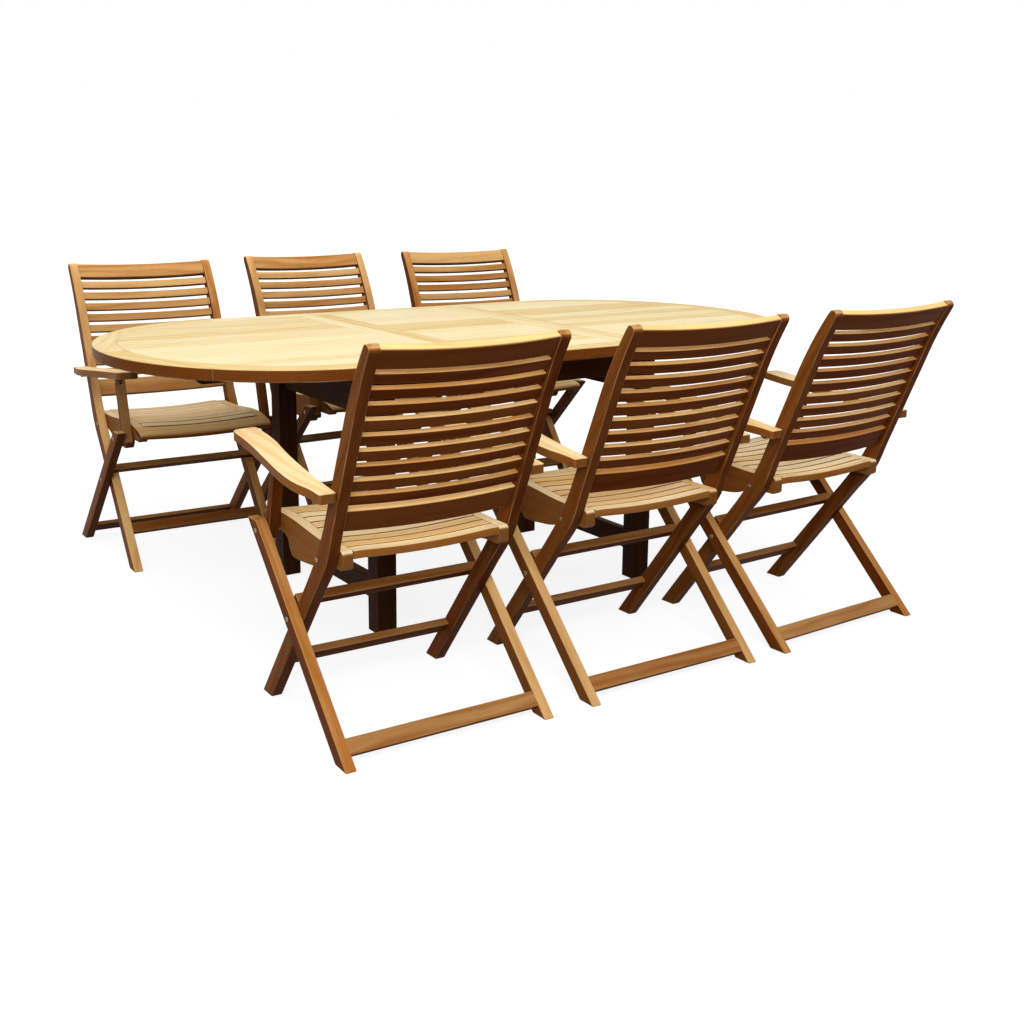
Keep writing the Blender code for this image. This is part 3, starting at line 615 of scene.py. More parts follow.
def flat_board(low_x, high_x, low_y, high_y, is_outer, along):
    low = (low_x + JOINT, low_y + JOINT, top_low.z)
    high = (high_x - JOINT, high_y - JOINT, top_high.z)
    board = box_board(low, high)
    ease_top(board, is_outer)
    return lay_grain(board, along, (0, 0, 1))


def straight_band(low_x, high_x):
    """The band along both sides of a leaf."""
    made = []
    for side in (-1, 1):
        edge = MIDDLE_Y + side * HALF_WIDTH
        low, high = sorted((edge + side * JOINT, edge - side * BAND))
        board = flat_board(low_x, high_x, low, high, lambda co: abs(co.y - edge) < 1e-4, (1, 0, 0))
        made.append(board)
    return made


def seam_board(low_x, high_x):
    """The cross board that closes a leaf at a seam."""
    low_y, high_y = MIDDLE_Y - FIELD_HALF, MIDDLE_Y + FIELD_HALF
    return flat_board(low_x, high_x, low_y, high_y, lambda co: False, (0, 1, 0))


# %% The curved band
CURVED_PIECES = 4
STEPS = 12


def leaf_board(outline):
    """A board as thick as the top, from its outline seen from above."""
    for point in outline:
        point.z = top_low.z
    return cut_board(outline, (0, 0, top_high.z - top_low.z))


def in_plan(point):
    return tuple(round(part, 5) for part in point[:2])


def curved_band():
    """The round end's band in four pieces, with the grain of each along its chord."""
    made = []
    for i in range(CURVED_PIECES):
        angles = [pi * (i + step / STEPS) / CURVED_PIECES - pi / 2 for step in range(STEPS + 1)]
        outline = [rounded_end(a, 0) for a in angles]
        outline += [rounded_end(a, BAND - JOINT) for a in angles[::-1]]
        board = leaf_board(outline)
        rim = {in_plan(point) for point in outline[: STEPS + 1]}
        ease_top(board, lambda co: in_plan(co) in rim)
        chord = outline[STEPS] - outline[0]
        made.append(lay_grain(board, (chord.x, chord.y, 0), (0, 0, 1)))
    return made


# %% The field boards
PANEL_STEPS = 40


def rounded_field_board(low_x, low_y, high_y):
    """A field board that ends at the curved band: a panel cut along both sides of the board."""
    angles = [pi * step / PANEL_STEPS - pi / 2 for step in range(PANEL_STEPS + 1)]
    outline = [rounded_end(a, BAND + JOINT) for a in angles]
    outline += [
        Vector((low_x, MIDDLE_Y + FIELD_HALF, 0)), Vector((low_x, MIDDLE_Y - FIELD_HALF, 0)),
    ]
    board = leaf_board(outline)
    for y, facing in ((low_y + JOINT, -1), (high_y - JOINT, 1)):
        cut(board, (0, y, 0), (0, facing, 0), keep_both=False)
        bmesh.ops.holes_fill(board, edges=[e for e in board.edges if e.is_boundary])
    bmesh.ops.recalc_face_normals(board, faces=board.faces)
    ease(board, JOINT_EDGE, steps=1, sharp=40)
    return lay_grain(board, (1, 0, 0), (0, 0, 1))


def field_boards(low_x, high_x, rounded):
    made = []
    width = 2 * FIELD_HALF / FIELD_BOARDS
    for i in range(FIELD_BOARDS):
        low_y = MIDDLE_Y - FIELD_HALF + i * width
        if rounded:
            made.append(rounded_field_board(low_x, low_y, low_y + width))
        else:
            board = flat_board(low_x, high_x, low_y, low_y + width, lambda co: False, (1, 0, 0))
            made.append(board)
    return made


# %% The end leaves
def mirror_end(mesh):
    """Turns a right-hand leaf into a left-hand one, and its faces the right way out."""
    other = bmesh.new()
    other.from_mesh(mesh)
    bmesh.ops.scale(other, vec=(-1, 1, 1), verts=other.verts)
    bmesh.ops.reverse_faces(other, faces=other.faces)
    other.to_mesh(mesh)
    other.free()


seam = end_low.x
for end in SIDES:
    leaf_parts = straight_band(seam, STRAIGHT) + curved_band()
    leaf_parts.append(seam_board(seam, seam + SEAM_BOARD))
    leaf_parts += field_boards(seam + SEAM_BOARD, STRAIGHT, True)
    leaf = glue_up(f"table_{end}_leaf_boards", leaf_parts)
    if end == "left":
        mirror_end(leaf)
    node = f"table_{end}_leaf"
    add_piece(node + "_boards", leaf, top_teak, f"table_{end}_top", [node])

# %% The middle leaf
half = top_high.x
node = "table_middle_leaf"
middle_parts = straight_band(-half, half)
middle_parts += [seam_board(-half, SEAM_BOARD - half), seam_board(half - SEAM_BOARD, half)]
middle_parts += field_boards(SEAM_BOARD - half, half - SEAM_BOARD, False)
print("the middle leaf has", len(middle_parts), "boards")
middle = glue_up(node + "_boards", middle_parts)
add_piece(node + "_boards", middle, top_teak, "table_middle_top", [node])

# %% [markdown]
# ## Smooth outlines
#
# A boatbuilder draws a fair curve by bending a thin batten round a few pegs. The legs, the
# arms and the underside of the seat rails are drawn in that way: a few points, the direction
# at each, and a Bezier curve between every two.

# %% A batten round some pegs
def batten(pegs, ways=None, steps=5):
    """Points of a smooth line through the pegs, with its direction at each peg."""
    if ways is None:
        ends = [pegs[0], *pegs, pegs[-1]]
        ways = [(after - before).normalized() for before, after in zip(ends, ends[2:])]
    line = []
    for start, end, leaving, arriving in zip(pegs, pegs[1:], ways, ways[1:]):
        pull = (end - start).length / 3
        handles = (start + leaving * pull, end - arriving * pull)
        line += interpolate_bezier(start, *handles, end, steps + 1)[:-1]
    return [*line, pegs[-1]]


def forward_of(up):
    """The direction square to an upward one, on its forward side."""
    return up.cross(ACROSS)


# %% [markdown]
# ## Chair: the long legs
#
# A long leg runs from the front foot up past the seat to the top of the back. It bends at the
# knee, where it is widest because the seat hangs there, and it curves back from the shoulder
# up. The board is drawn by its middle line, its direction and its width at any height.

# %% Sizes of a long leg
LEG_INNER_X = 0.206
LEG_THICKNESS = 0.027
LEG_OUTER_X = LEG_INNER_X + LEG_THICKNESS
LEG_WIDTH = 0.040
LEG_EDGE = 0.0025
SHOULDER_WIDTH = 0.0365
TOP_WIDTH = 0.025
KNEE_WIDTH = 0.046
KNEE_Z = 0.414
BEND_BELOW = 0.085
BEND_ABOVE = 0.075
TOP_Z = 0.884
SHOULDER_Z = TOP_Z - 0.154
TOP_STEPS = 8
CAP_HEIGHT = 0.52
CAP_DROP = 0.4


def lower_leg(z):
    """The middle of a long leg at a height below the knee."""
    return side_view(FRONT_FOOT_Y - tan(LOWER_LEAN) * z, z)


FOOT = lower_leg(0)
KNEE = lower_leg(KNEE_Z)
SHOULDER = KNEE + UPPER_UP * ((SHOULDER_Z - KNEE_Z) / UPPER_UP.z)


# %% The long leg at any height above the knee
def between(first, last, share):
    return first + (last - first) * share


def upper_leg(z):
    """The middle, the upward direction and the width of a long leg at a height."""
    if z <= SHOULDER_Z:
        share = (z - KNEE_Z) / (SHOULDER_Z - KNEE_Z)
        return KNEE.lerp(SHOULDER, share), UPPER_UP, between(LEG_WIDTH, SHOULDER_WIDTH, share)
    radius = (TOP_Z - SHOULDER_Z) / (sin(TOP_LEAN) - sin(UPPER_LEAN))
    lean = asin(sin(UPPER_LEAN) + (z - SHOULDER_Z) / radius)
    middle = SHOULDER + side_view(radius * (cos(lean) - cos(UPPER_LEAN)), z - SHOULDER_Z)
    share = (z - SHOULDER_Z) / (TOP_Z - SHOULDER_Z)
    return middle, side_view(-sin(lean), cos(lean)), between(SHOULDER_WIDTH, TOP_WIDTH, share)


# %% The long leg's outline
def leg_edge(side):
    """The front (1) or rear (-1) edge of a long leg, from the foot up."""
    half = LEG_WIDTH / 2
    forward = forward_of(LOWER_UP)
    below = FOOT + LOWER_UP * ((KNEE_Z - BEND_BELOW) / LOWER_UP.z) + forward * side * half
    knee_up = (LOWER_UP + UPPER_UP).normalized()
    swell = KNEE_WIDTH - half if side > 0 else half
    bend = KNEE + forward_of(knee_up) * side * swell
    middle, up, width = upper_leg(KNEE_Z + BEND_ABOVE)
    above = middle + forward_of(up) * side * width / 2
    edge = [FOOT + side_view(side * half / cos(LOWER_LEAN), 0)]
    edge += batten([below, bend, above], [LOWER_UP, knee_up, UPPER_UP], steps=7)
    for step in range(TOP_STEPS):
        middle, up, width = upper_leg(between(SHOULDER_Z, TOP_Z, step / TOP_STEPS))
        edge.append(middle + forward_of(up) * side * width / 2)
    return edge


def leg_cap():
    """The rounded top: half an ellipse from the front edge to the rear one."""
    middle, up, width = upper_leg(TOP_Z)
    forward = forward_of(up)
    angles = [pi * i / TOP_STEPS for i in range(TOP_STEPS + 1)]
    return [
        middle + (forward * cos(a) / 2 + up * (CAP_HEIGHT * sin(a) - CAP_DROP)) * width
        for a in angles
    ]


leg_outline = leg_edge(1) + leg_cap() + leg_edge(-1)[::-1]
print("the long leg's outline has", len(leg_outline), "points")

# %% Two long legs
def long_leg(side):
    outline = [point + ACROSS * side * LEG_INNER_X for point in leg_outline]
    board = cut_board(outline, ACROSS * side * LEG_THICKNESS)
    ease(board, LEG_EDGE)
    return lay_grain(board, SHOULDER - FOOT, ACROSS)


frame_boards = [long_leg(side) for side in (-1, 1)]

# %% [markdown]
# ## Chair: the back
#
# The back is two rails with nine thin slats between them, all bowed to the rear so that they
# fit a sitter. Each bar starts straight and level, is cut into short lengths so that it can
# bend, has its grain laid while it is still straight, and is then bowed, tilted and placed.

# %% Bend a straight bar
def cut_across(bar, half, cuts):
    """Adds cross cuts along x, so that a bar can bend smoothly."""
    for i in range(1, cuts):
        cut(bar, (half * (2 * i / cuts - 1), 0, 0), (1, 0, 0))


def tilt_to(bar, middle, up):
    """Moves a bar drawn about the origin to its place, with its z along up."""
    turn = Matrix((ACROSS, forward_of(up), up)).transposed().to_4x4()
    bmesh.ops.transform(bar, matrix=Matrix.Translation(middle) @ turn, verts=bar.verts)


# %% The bars of the back
EMBED = 0.004
BACK_BOW = 0.013
BAR_CUTS = 12
BAR_THICKNESS = 0.020
TOP_RAIL_Z = TOP_Z - 0.0225
TOP_RAIL_HEIGHT = 0.050
TOP_RAIL_EDGE = 0.004
BOTTOM_RAIL_Z = 0.5055
BOTTOM_RAIL_HEIGHT = 0.053
BACK_SLATS = 9
SLAT_THICKNESS = 0.015
SLAT_GAP = 0.009
SLAT_EDGE = 0.0018
FIRST_SLAT_Z = BOTTOM_RAIL_Z + 0.0465
LAST_SLAT_Z = TOP_RAIL_Z - 0.042
pitch = (LAST_SLAT_Z - FIRST_SLAT_Z) / (BACK_SLATS - 1)


def back_bar(z, height, thickness, edge):
    half = LEG_INNER_X + EMBED
    bar = plane_board((2 * half, thickness, height))
    ease(bar, edge)
    cut_across(bar, half, BAR_CUTS)
    lay_grain(bar, ACROSS, (0, 1, 0))
    for vert in bar.verts:
        vert.co.y -= BACK_BOW * (1 - (vert.co.x / half) ** 2)
    middle, up, _ = upper_leg(z)
    tilt_to(bar, middle, up)
    return bar


frame_boards.append(back_bar(TOP_RAIL_Z, TOP_RAIL_HEIGHT, BAR_THICKNESS, TOP_RAIL_EDGE))
frame_boards.append(back_bar(BOTTOM_RAIL_Z, BOTTOM_RAIL_HEIGHT, BAR_THICKNESS, LEG_EDGE))
for i in range(BACK_SLATS):
    slat = back_bar(FIRST_SLAT_Z + pitch * i, pitch - SLAT_GAP, SLAT_THICKNESS, SLAT_EDGE)
    frame_boards.append(slat)
print("the back's slats stand", round(pitch * 1000, 1), "mm apart")

# %% [markdown]
# ## Chair: the stretchers
#
# Two bars hold the long legs apart below the seat. The low one is set between them, and the
# other is fixed across their front edges just above the place where the legs cross.

# %% Low stretcher
STRETCHER_EDGE = 0.003
LOW_BAR_Z = 0.1045
LOW_BAR_HEIGHT = 0.032
LOW_BAR_SET_BACK = (LEG_WIDTH - BAR_THICKNESS) / 2 - 0.002
low_bar = plane_board((2 * (LEG_INNER_X + EMBED), BAR_THICKNESS, LOW_BAR_HEIGHT))
ease(low_bar, STRETCHER_EDGE)
# The low bar gets a fifth of the painted upward light, so its shade under the seat is painted in.
lay_grain(low_bar, ACROSS, (0, 1, 0), lit_share=0.2)
tilt_to(low_bar, lower_leg(LOW_BAR_Z) + forward_of(LOWER_UP) * LOW_BAR_SET_BACK, LOWER_UP)
frame_boards.append(low_bar)

# %% Middle stretcher
MID_BAR_Z = 0.2695
MID_HEIGHT = 0.0215
MID_DEPTH = 0.0245
MID_INSET = 0.0003
mid_bar = plane_board((2 * (LEG_OUTER_X - MID_INSET), MID_DEPTH, MID_HEIGHT))
ease(mid_bar, STRETCHER_EDGE)
# The middle bar gets less of the painted upward light, which paints its shade under the seat.
lay_grain(mid_bar, ACROSS, (0, 1, 0), lit_share=0.3)
out = (LEG_WIDTH + MID_DEPTH) / 2
middle = lower_leg(MID_BAR_Z) + forward_of(LOWER_UP) * out - LOWER_UP * MID_HEIGHT / 2
tilt_to(mid_bar, middle, LOWER_UP)
frame_boards.append(mid_bar)
frame_mesh = glue_up("chair_frame_boards", frame_boards)
print("a chair's frame has", len(frame_mesh.polygons), "faces")

# %% [markdown]
# ## Chair: the rear legs
#
# The rear legs cross outside the long legs and carry the seat's rod at their tops. One flat
# bar ties their feet, flush with their upper faces.

# %% Rear legs
REAR_LEG_WIDTH = 0.0362
REAR_LEG_TOP_Z = 0.430
REAR_LEG_THICKNESS = 0.026
LAYER_GAP = 0.0005
REAR_INNER_X = LEG_OUTER_X + LAYER_GAP
REAR_OUTER_X = REAR_INNER_X + REAR_LEG_THICKNESS
FRONT_CORNER_CUT = 0.012
REAR_CORNER_CUT = 0.005
CROWN_CUT = 0.004


def rear_leg(side):
    foot, top = rear_leg_middle(0), rear_leg_middle(REAR_LEG_TOP_Z)
    reach = side_view(REAR_LEG_WIDTH / 2 / cos(REAR_LEAN), 0)
    inwards = side_view(CROWN_CUT, 0)
    front = [foot + reach, top + reach - REAR_UP * FRONT_CORNER_CUT]
    rear = [top - reach - REAR_UP * REAR_CORNER_CUT, foot - reach]
    crown = [top + reach - inwards, top - reach + inwards]
    outline = [point + ACROSS * side * REAR_INNER_X for point in front + crown + rear]
    board = cut_board(outline, ACROSS * side * REAR_LEG_THICKNESS)
    ease(board, LEG_EDGE, sharp=20)
    # The rear legs get less of the painted upward light, which paints their shade under the seat.
    return lay_grain(board, REAR_UP, ACROSS, lit_share=0.6)


# %% Rear stretcher
REAR_BAR_Z = 0.0265
REAR_BAR_THICKNESS = 0.014
REAR_BAR_HEIGHT = 0.038
REAR_BAR_SET_IN = (REAR_LEG_WIDTH - REAR_BAR_THICKNESS) / 2 - 0.0005
rear_bar = plane_board((2 * (REAR_INNER_X + EMBED), REAR_BAR_THICKNESS, REAR_BAR_HEIGHT))
ease(rear_bar, SQUARE_EDGE)
# The rear bar by the floor gets little of the painted upward light, so its shade is painted.
lay_grain(rear_bar, ACROSS, (0, 1, 0), lit_share=0.35)
tilt_to(rear_bar, rear_leg_middle(REAR_BAR_Z) - forward_of(REAR_UP) * REAR_BAR_SET_IN, REAR_UP)
rear_mesh = glue_up("rear_legs_boards", [rear_leg(-1), rear_leg(1), rear_bar])
print("the rear legs lean", round(REAR_LEAN * 180 / pi, 1), "degrees")

# %% [markdown]
# ## Chair: the seat
#
# Ten slats lie between two side rails, and a wide front board runs over the rails' ends. The
# top is drawn from the side as one curve: level at the rear, rising to a crest under the
# thighs, then rolling down to a rounded nose. The slats are also hollowed across, so their
# middles lie lower than their ends. The rails are deep below the bolts and shallow in front.

# %% Sizes of the seat
SEAT_HALF = LEG_INNER_X - 0.0015
SEAT_REAR_Y = -0.152
SEAT_FRONT_Y = 0.265
FRONT_BOARD_WIDTH = 0.052
FRONT_BOARD_Y = SEAT_FRONT_Y - FRONT_BOARD_WIDTH
FRONT_BOARD_NOSE = 0.0085
HOLLOW_Y, HOLLOW_Z = -0.075, 0.433
CREST_Y, CREST_Z = 0.145, 0.4465
FRONT_RADIUS = 0.367
SEAT_SLATS = 10
SEAT_GAP = 0.0065
SEAT_THICKNESS = 0.019
SEAT_DISH = 0.006
DISH_SHARE = 0.86
SIDE_RAIL = 0.025
SLAT_FIT = 0.0003
SEAT_CUTS = 16
SEAT_LENGTHS = 5
SEAT_BOLT = Vector((0, -0.087, 0.405))


def seat_top(y):
    if y > CREST_Y:
        return CREST_Z - (y - CREST_Y) ** 2 / (2 * FRONT_RADIUS)
    share = max(0.0, (y - HOLLOW_Y) / (CREST_Y - HOLLOW_Y))
    return HOLLOW_Z + (CREST_Z - HOLLOW_Z) * share * share * (3 - 2 * share)


print("the seat's crest is", round((CREST_Z - HOLLOW_Z) * 1000, 1), "mm above its hollow")

# %% Boards across the seat
def seat_board(rear, front, half, nose=0.0):
    """A flat board, eased and cut across, then bent to the seat's curve and hollow."""
    size = (2 * half, front - rear, SEAT_THICKNESS)
    board = plane_board(size, (0, (front + rear) / 2, -SEAT_THICKNESS / 2))
    if nose:
        front_edges = [e for e in board.edges if all(v.co.y > front - 1e-4 for v in e.verts)]
        ease(board, nose, steps=6, edges=[e for e in front_edges if is_level(e)])
    ease(board, SQUARE_EDGE, sharp=40)
    cut_across(board, half, SEAT_CUTS)
    for step in range(1, SEAT_LENGTHS):
        cut(board, (0, between(rear, front, step / SEAT_LENGTHS), 0), (0, 1, 0))
    lay_grain(board, ACROSS, (0, 0, 1))
    for vert in board.verts:
        hollow = max(0.0, 1 - (vert.co.x / half / DISH_SHARE) ** 2)
        vert.co.z += seat_top(vert.co.y) - SEAT_DISH * hollow
    return board


seat_pitch = (FRONT_BOARD_Y - SEAT_REAR_Y) / SEAT_SLATS
seat_boards = [seat_board(FRONT_BOARD_Y, SEAT_FRONT_Y, SEAT_HALF, FRONT_BOARD_NOSE)]
for i in range(SEAT_SLATS):
    rear = SEAT_REAR_Y + i * seat_pitch
    slat = seat_board(rear, rear + seat_pitch - SEAT_GAP, SEAT_HALF - SIDE_RAIL - SLAT_FIT)
    seat_boards.append(slat)
print("the seat's slats are", round((seat_pitch - SEAT_GAP) * 1000, 1), "mm wide")

# %% The rod that the seat rests on
ROD_Z = 0.407
ROD_RADIUS = 0.005
ROD = rear_leg_middle(ROD_Z)
ROD_SLOT = 0.0062
print("the rod's slots have", round((ROD_SLOT - ROD_RADIUS) * 1000, 1), "mm of play")

# %% The side rails' upper edge
RAIL_CORNER = 0.010
RAIL_FRONT_Y = SEAT_FRONT_Y - 0.010
RAIL_STEPS = 16
UNDER_BOARD = SEAT_THICKNESS - 0.001


def rail_upper_edge():
    """From the rounded rear corner along the seat's top, then on below the front board."""
    rear_z = seat_top(SEAT_REAR_Y)
    edge = []
    for degrees in (90, 68, 45, 22, 0):
        along, up = sin(radians(degrees)), cos(radians(degrees))
        edge.append(side_view(
            SEAT_REAR_Y + RAIL_CORNER * (1 - along), rear_z - RAIL_CORNER * (1 - up),
        ))
    start, step_down = SEAT_REAR_Y + RAIL_CORNER, FRONT_BOARD_Y - JOINT
    for i in range(1, RAIL_STEPS + 1):
        y = between(start, step_down, i / RAIL_STEPS)
        edge.append(side_view(y, seat_top(y)))
    for i in range(5):
        y = between(step_down, RAIL_FRONT_Y, i / 4)
        edge.append(side_view(y, seat_top(y) - UNDER_BOARD))
    return edge


# %% The side rails' lower edge
RAIL_SHALLOW_Z = ROD_Z - ROD_RADIUS
RAIL_STEP_Y = 0.143
RAIL_LOW_Z = 0.357
RAIL_RISE = 0.043
RAIL_CHAMFER = 0.008


def rail_at(along, up):
    """A point of the rail's deep rear part, from its lowest rear corner."""
    return side_view(between(SEAT_REAR_Y, RAIL_STEP_Y, along), RAIL_LOW_Z + RAIL_RISE * up)


def rail_lower_edge():
    """From the shallow front, round the rod's slot and down to the deep part at the bolts."""
    slot = [ROD + side_view(cos(pi * i / 8), sin(pi * i / 8)) * ROD_SLOT for i in range(7)]
    mouth = slot[-1].y - (slot[-1].z - RAIL_SHALLOW_Z)
    belly = batten([
        rail_at(0.916, 0.302), rail_at(0.863, 0.0), rail_at(0.567, 0.128), rail_at(0.444, 0.279),
        rail_at(0.356, 0.523), rail_at(0.215, 0.721), rail_at(0.03, 0.767),
    ])
    return [
        side_view(RAIL_FRONT_Y, RAIL_SHALLOW_Z + RAIL_CHAMFER),
        side_view(RAIL_FRONT_Y - RAIL_CHAMFER, RAIL_SHALLOW_Z),
        side_view(slot[0].y, RAIL_SHALLOW_Z), *slot, side_view(mouth, RAIL_SHALLOW_Z),
        rail_at(1.0, 1.0), rail_at(0.954, 0.860), *belly, rail_at(0.0, 0.907),
    ]


# %% Side rails
rail_outline = rail_upper_edge() + rail_lower_edge()
print("a side rail's outline has", len(rail_outline), "points")


def seat_rail(side):
    outline = [point + ACROSS * side * SEAT_HALF for point in rail_outline]
    board = cut_board(outline, ACROSS * side * -SIDE_RAIL)
    ease(board, SLAT_EDGE, sharp=40)
    return lay_grain(board, (0, 1, 0), ACROSS)


seat_boards += [seat_rail(side) for side in (-1, 1)]
seat_mesh = glue_up("seat_boards", seat_boards)
print("a seat has", len(seat_mesh.polygons), "faces")

# %% [markdown]
# ## Chair: the arms
#
# An arm is a broad shaped board with soft edges. Its inner edge leaves the long leg in a
# long curve, its outer edge swells at the elbow, and the front corners are rounded. Two
# blocks hang below it: a tongue that turns in the fork of the front post, and a cleat at the
# rear that is bolted to the long leg.

# %% Sizes of the arms
ARM_SLOPE = 0.1
ARM_TOP = 0.592
ARM_THICKNESS = 0.0215
ARM_FRONT_Y = 0.290
ARM_REAR_Y = -0.192
ARM_SKEW = 0.008
ARM_EDGE = 0.0045
ELBOW_X = 0.288
ARM_TAIL_X = 0.2715
ARM_TIP_X = 0.268
FRONT_CORNER = 0.016
REAR_CORNER = 0.007
ARM_BOLT = Vector((0, -0.152, 0.5566))
CLEAT_BELOW = 0.0125
CLEAT_RADIUS = 0.0115
CLEAT_EDGE = 0.0012
CLEAT_STEP = 0.002
TONGUE_ROOT = 0.0125
CLEAT_ROOT = 0.020
POST_LEAN = radians(14.5)
FORK_CHEEK = 0.0095


def arm_underside(y):
    return ARM_TOP + ARM_SLOPE * y - ARM_THICKNESS


rise = (arm_underside(ROD.y) - CLEAT_BELOW - ROD.z) / (1 + ARM_SLOPE * tan(POST_LEAN))
POST_BOLT = ROD + Vector((0, -tan(POST_LEAN) * rise, rise))
print("the post's bolt is", round(POST_BOLT.z, 3), "m up")


# %% The arm's outline from above
def arm_outline():
    length = ARM_FRONT_Y - ARM_REAR_Y
    swell = ELBOW_X - LEG_INNER_X

    def arm_at(across, along):
        return Vector((LEG_INNER_X + swell * across, ARM_REAR_Y + length * along, 0))

    inner = [
        arm_at(0.006, 1.0), arm_at(0.006, 0.792), arm_at(0.158, 0.585),
        arm_at(0.244, 0.440), arm_at(0.305, 0.274), Vector((REAR_INNER_X, arm_at(0, 0.16).y, 0)),
    ]
    outer = [
        Vector((ARM_TAIL_X, ARM_REAR_Y, 0)), arm_at(0.835, 0.087), arm_at(0.963, 0.180),
        arm_at(1.0, 0.264), arm_at(0.976, 0.378), arm_at(0.890, 0.544), arm_at(0.793, 0.710),
        Vector((ARM_TIP_X, arm_at(0, 0.844).y, 0)), Vector((ARM_TIP_X, ARM_FRONT_Y - ARM_SKEW, 0)),
    ]
    return batten(inner) + [Vector((REAR_INNER_X, ARM_REAR_Y, 0))] + batten(outer)


# %% The arm's board
def arm_board(side):
    outline = [Vector((side * p.x, p.y, 0)) for p in arm_outline()]
    board = cut_board(outline, (0, 0, -ARM_THICKNESS))
    for at_front, radius in ((True, FRONT_CORNER), (False, REAR_CORNER)):
        corners = [
            e for e in board.edges
            if abs(e.verts[0].co.z - e.verts[1].co.z) > ARM_THICKNESS / 2
            and e.calc_face_angle() > radians(45) and (e.verts[0].co.y > 0) == at_front
        ]
        round_edges(board, corners, radius, steps=6)
    ease(board, ARM_EDGE, steps=4)
    lay_grain(board, (0, 1, 0), (0, 0, 1))
    for vert in board.verts:
        vert.co.z += ARM_TOP + ARM_SLOPE * vert.co.y
    return board


# %% The blocks below the arm
def cleat(centre, root, low, high):
    """A rounded block round a bolt. Root is half its length where it joins the arm."""
    rear, front = centre.y - root, centre.y + root
    outline = [side_view(rear, arm_underside(rear) + lift) for lift in (EMBED, -CLEAT_STEP)]
    for angle in [radians(200 + 14 * i) for i in range(11)]:
        outline.append(centre + side_view(cos(angle), sin(angle)) * CLEAT_RADIUS)
    outline += [side_view(front, arm_underside(front) + lift) for lift in (-CLEAT_STEP, EMBED)]
    block = cut_board([point + ACROSS * low for point in outline], ACROSS * (high - low))
    ease(block, CLEAT_EDGE, sharp=50)
    return lay_grain(block, (0, 1, 0), ACROSS)


def arm_mesh(side, name):
    tongue_low = side * (LEG_INNER_X + FORK_CHEEK + LAYER_GAP)
    tongue_high = side * (LEG_OUTER_X - FORK_CHEEK - LAYER_GAP)
    return glue_up(name, [
        arm_board(side),
        cleat(POST_BOLT, TONGUE_ROOT, tongue_low, tongue_high),
        cleat(ARM_BOLT, CLEAT_ROOT, side * REAR_INNER_X, side * REAR_OUTER_X),
    ])


arm_meshes = {end: arm_mesh(side, f"{end}_arm_board") for end, side in SIDES.items()}
print("an arm has", len(arm_meshes["left"].polygons), "faces")

# %% [markdown]
# ## Chair: the arm posts
#
# Each arm stands on a short post that turns on the seat's rod. Its top is forked to take the
# arm's tongue, and both ends are rounded so that they can turn. The fork is drawn from the
# front as a U and extruded through the post, and one wide bevel rounds the ends.

# %% Arm posts
POST_WIDTH = 0.022
POST_TAIL = 0.014
FORK_DEPTH = 0.013
END_ROUND = 0.97


def post_mesh(side, name):
    up = (POST_BOLT - ROD).normalized()
    height = (POST_BOLT - ROD).length
    half = POST_WIDTH / 2
    bottom, fork, top = -POST_TAIL - half, height - FORK_DEPTH, height + half
    inner, outer = side * LEG_INNER_X, side * LEG_OUTER_X
    cheek = side * FORK_CHEEK
    outline = [
        (inner, bottom), (inner, top), (inner + cheek, top), (inner + cheek, fork),
        (outer - cheek, fork), (outer - cheek, top), (outer, top), (outer, bottom),
    ]
    board = cut_board([Vector((x, -half, z)) for x, z in outline], (0, POST_WIDTH, 0))
    ends = [
        e for e in board.edges
        if abs(e.verts[0].co.x - e.verts[1].co.x) > 0.005 and abs(e.verts[0].co.z - fork) > 1e-4
    ]
    ease(board, half * END_ROUND, steps=8, edges=ends)
    ease(board, SLAT_EDGE, sharp=50)
    lay_grain(board, (0, 0, 1), ACROSS)
    tilt_to(board, ROD, up)
    return glue_up(name, [board])


post_meshes = {end: post_mesh(side, f"{end}_arm_post_board") for end, side in SIDES.items()}
print("a post is", round((POST_BOLT - ROD).length, 3), "m from bolt to rod")

# %% [markdown]
# ## Bolts and the rod
#
# The joints turn on brass bolts with domed heads, each with a small round socket. A plain
# steel rod would rust outdoors, so the rod under the seat is brass too, with the same heads
# on its ends. A head starts as a short cylinder, whose rim is beveled into the dome.

# %% One bolt head
HEAD_RADIUS = 0.0062
HEAD_HEIGHT = 0.0022
DOME = HEAD_HEIGHT * 0.7
SOCKET_IN = HEAD_RADIUS * 0.30
SOCKET_DEPTH = HEAD_HEIGHT * 0.6


def bolt_head(at, side, face_x):
    """A domed head that lies on the face at face_x and looks outwards."""
    head = bmesh.new()
    bmesh.ops.create_cone(
        head, cap_ends=True, segments=24,
        radius1=HEAD_RADIUS, radius2=HEAD_RADIUS, depth=HEAD_HEIGHT
    )
    rim = [e for e in head.edges if all(v.co.z > 0 for v in e.verts)]
    round_edges(head, rim, DOME, steps=4)
    crown = max(head.faces, key=lambda face: face.calc_center_median().z)
    bmesh.ops.inset_region(head, faces=[crown], thickness=SOCKET_IN)
    sunk = bmesh.ops.extrude_face_region(head, geom=[crown])
    floor_verts = [item for item in sunk["geom"] if isinstance(item, bmesh.types.BMVert)]
    bmesh.ops.translate(head, vec=(0, 0, -SOCKET_DEPTH), verts=floor_verts)
    bmesh.ops.delete(head, geom=[crown], context="FACES")
    bmesh.ops.rotate(head, matrix=Matrix.Rotation(side * pi / 2, 3, "Y"), verts=head.verts)
    place = Vector((side * (face_x + HEAD_HEIGHT / 2), at.y, at.z))
    bmesh.ops.translate(head, vec=place, verts=head.verts)
    bmesh.ops.recalc_face_normals(head, faces=head.faces)
    return head


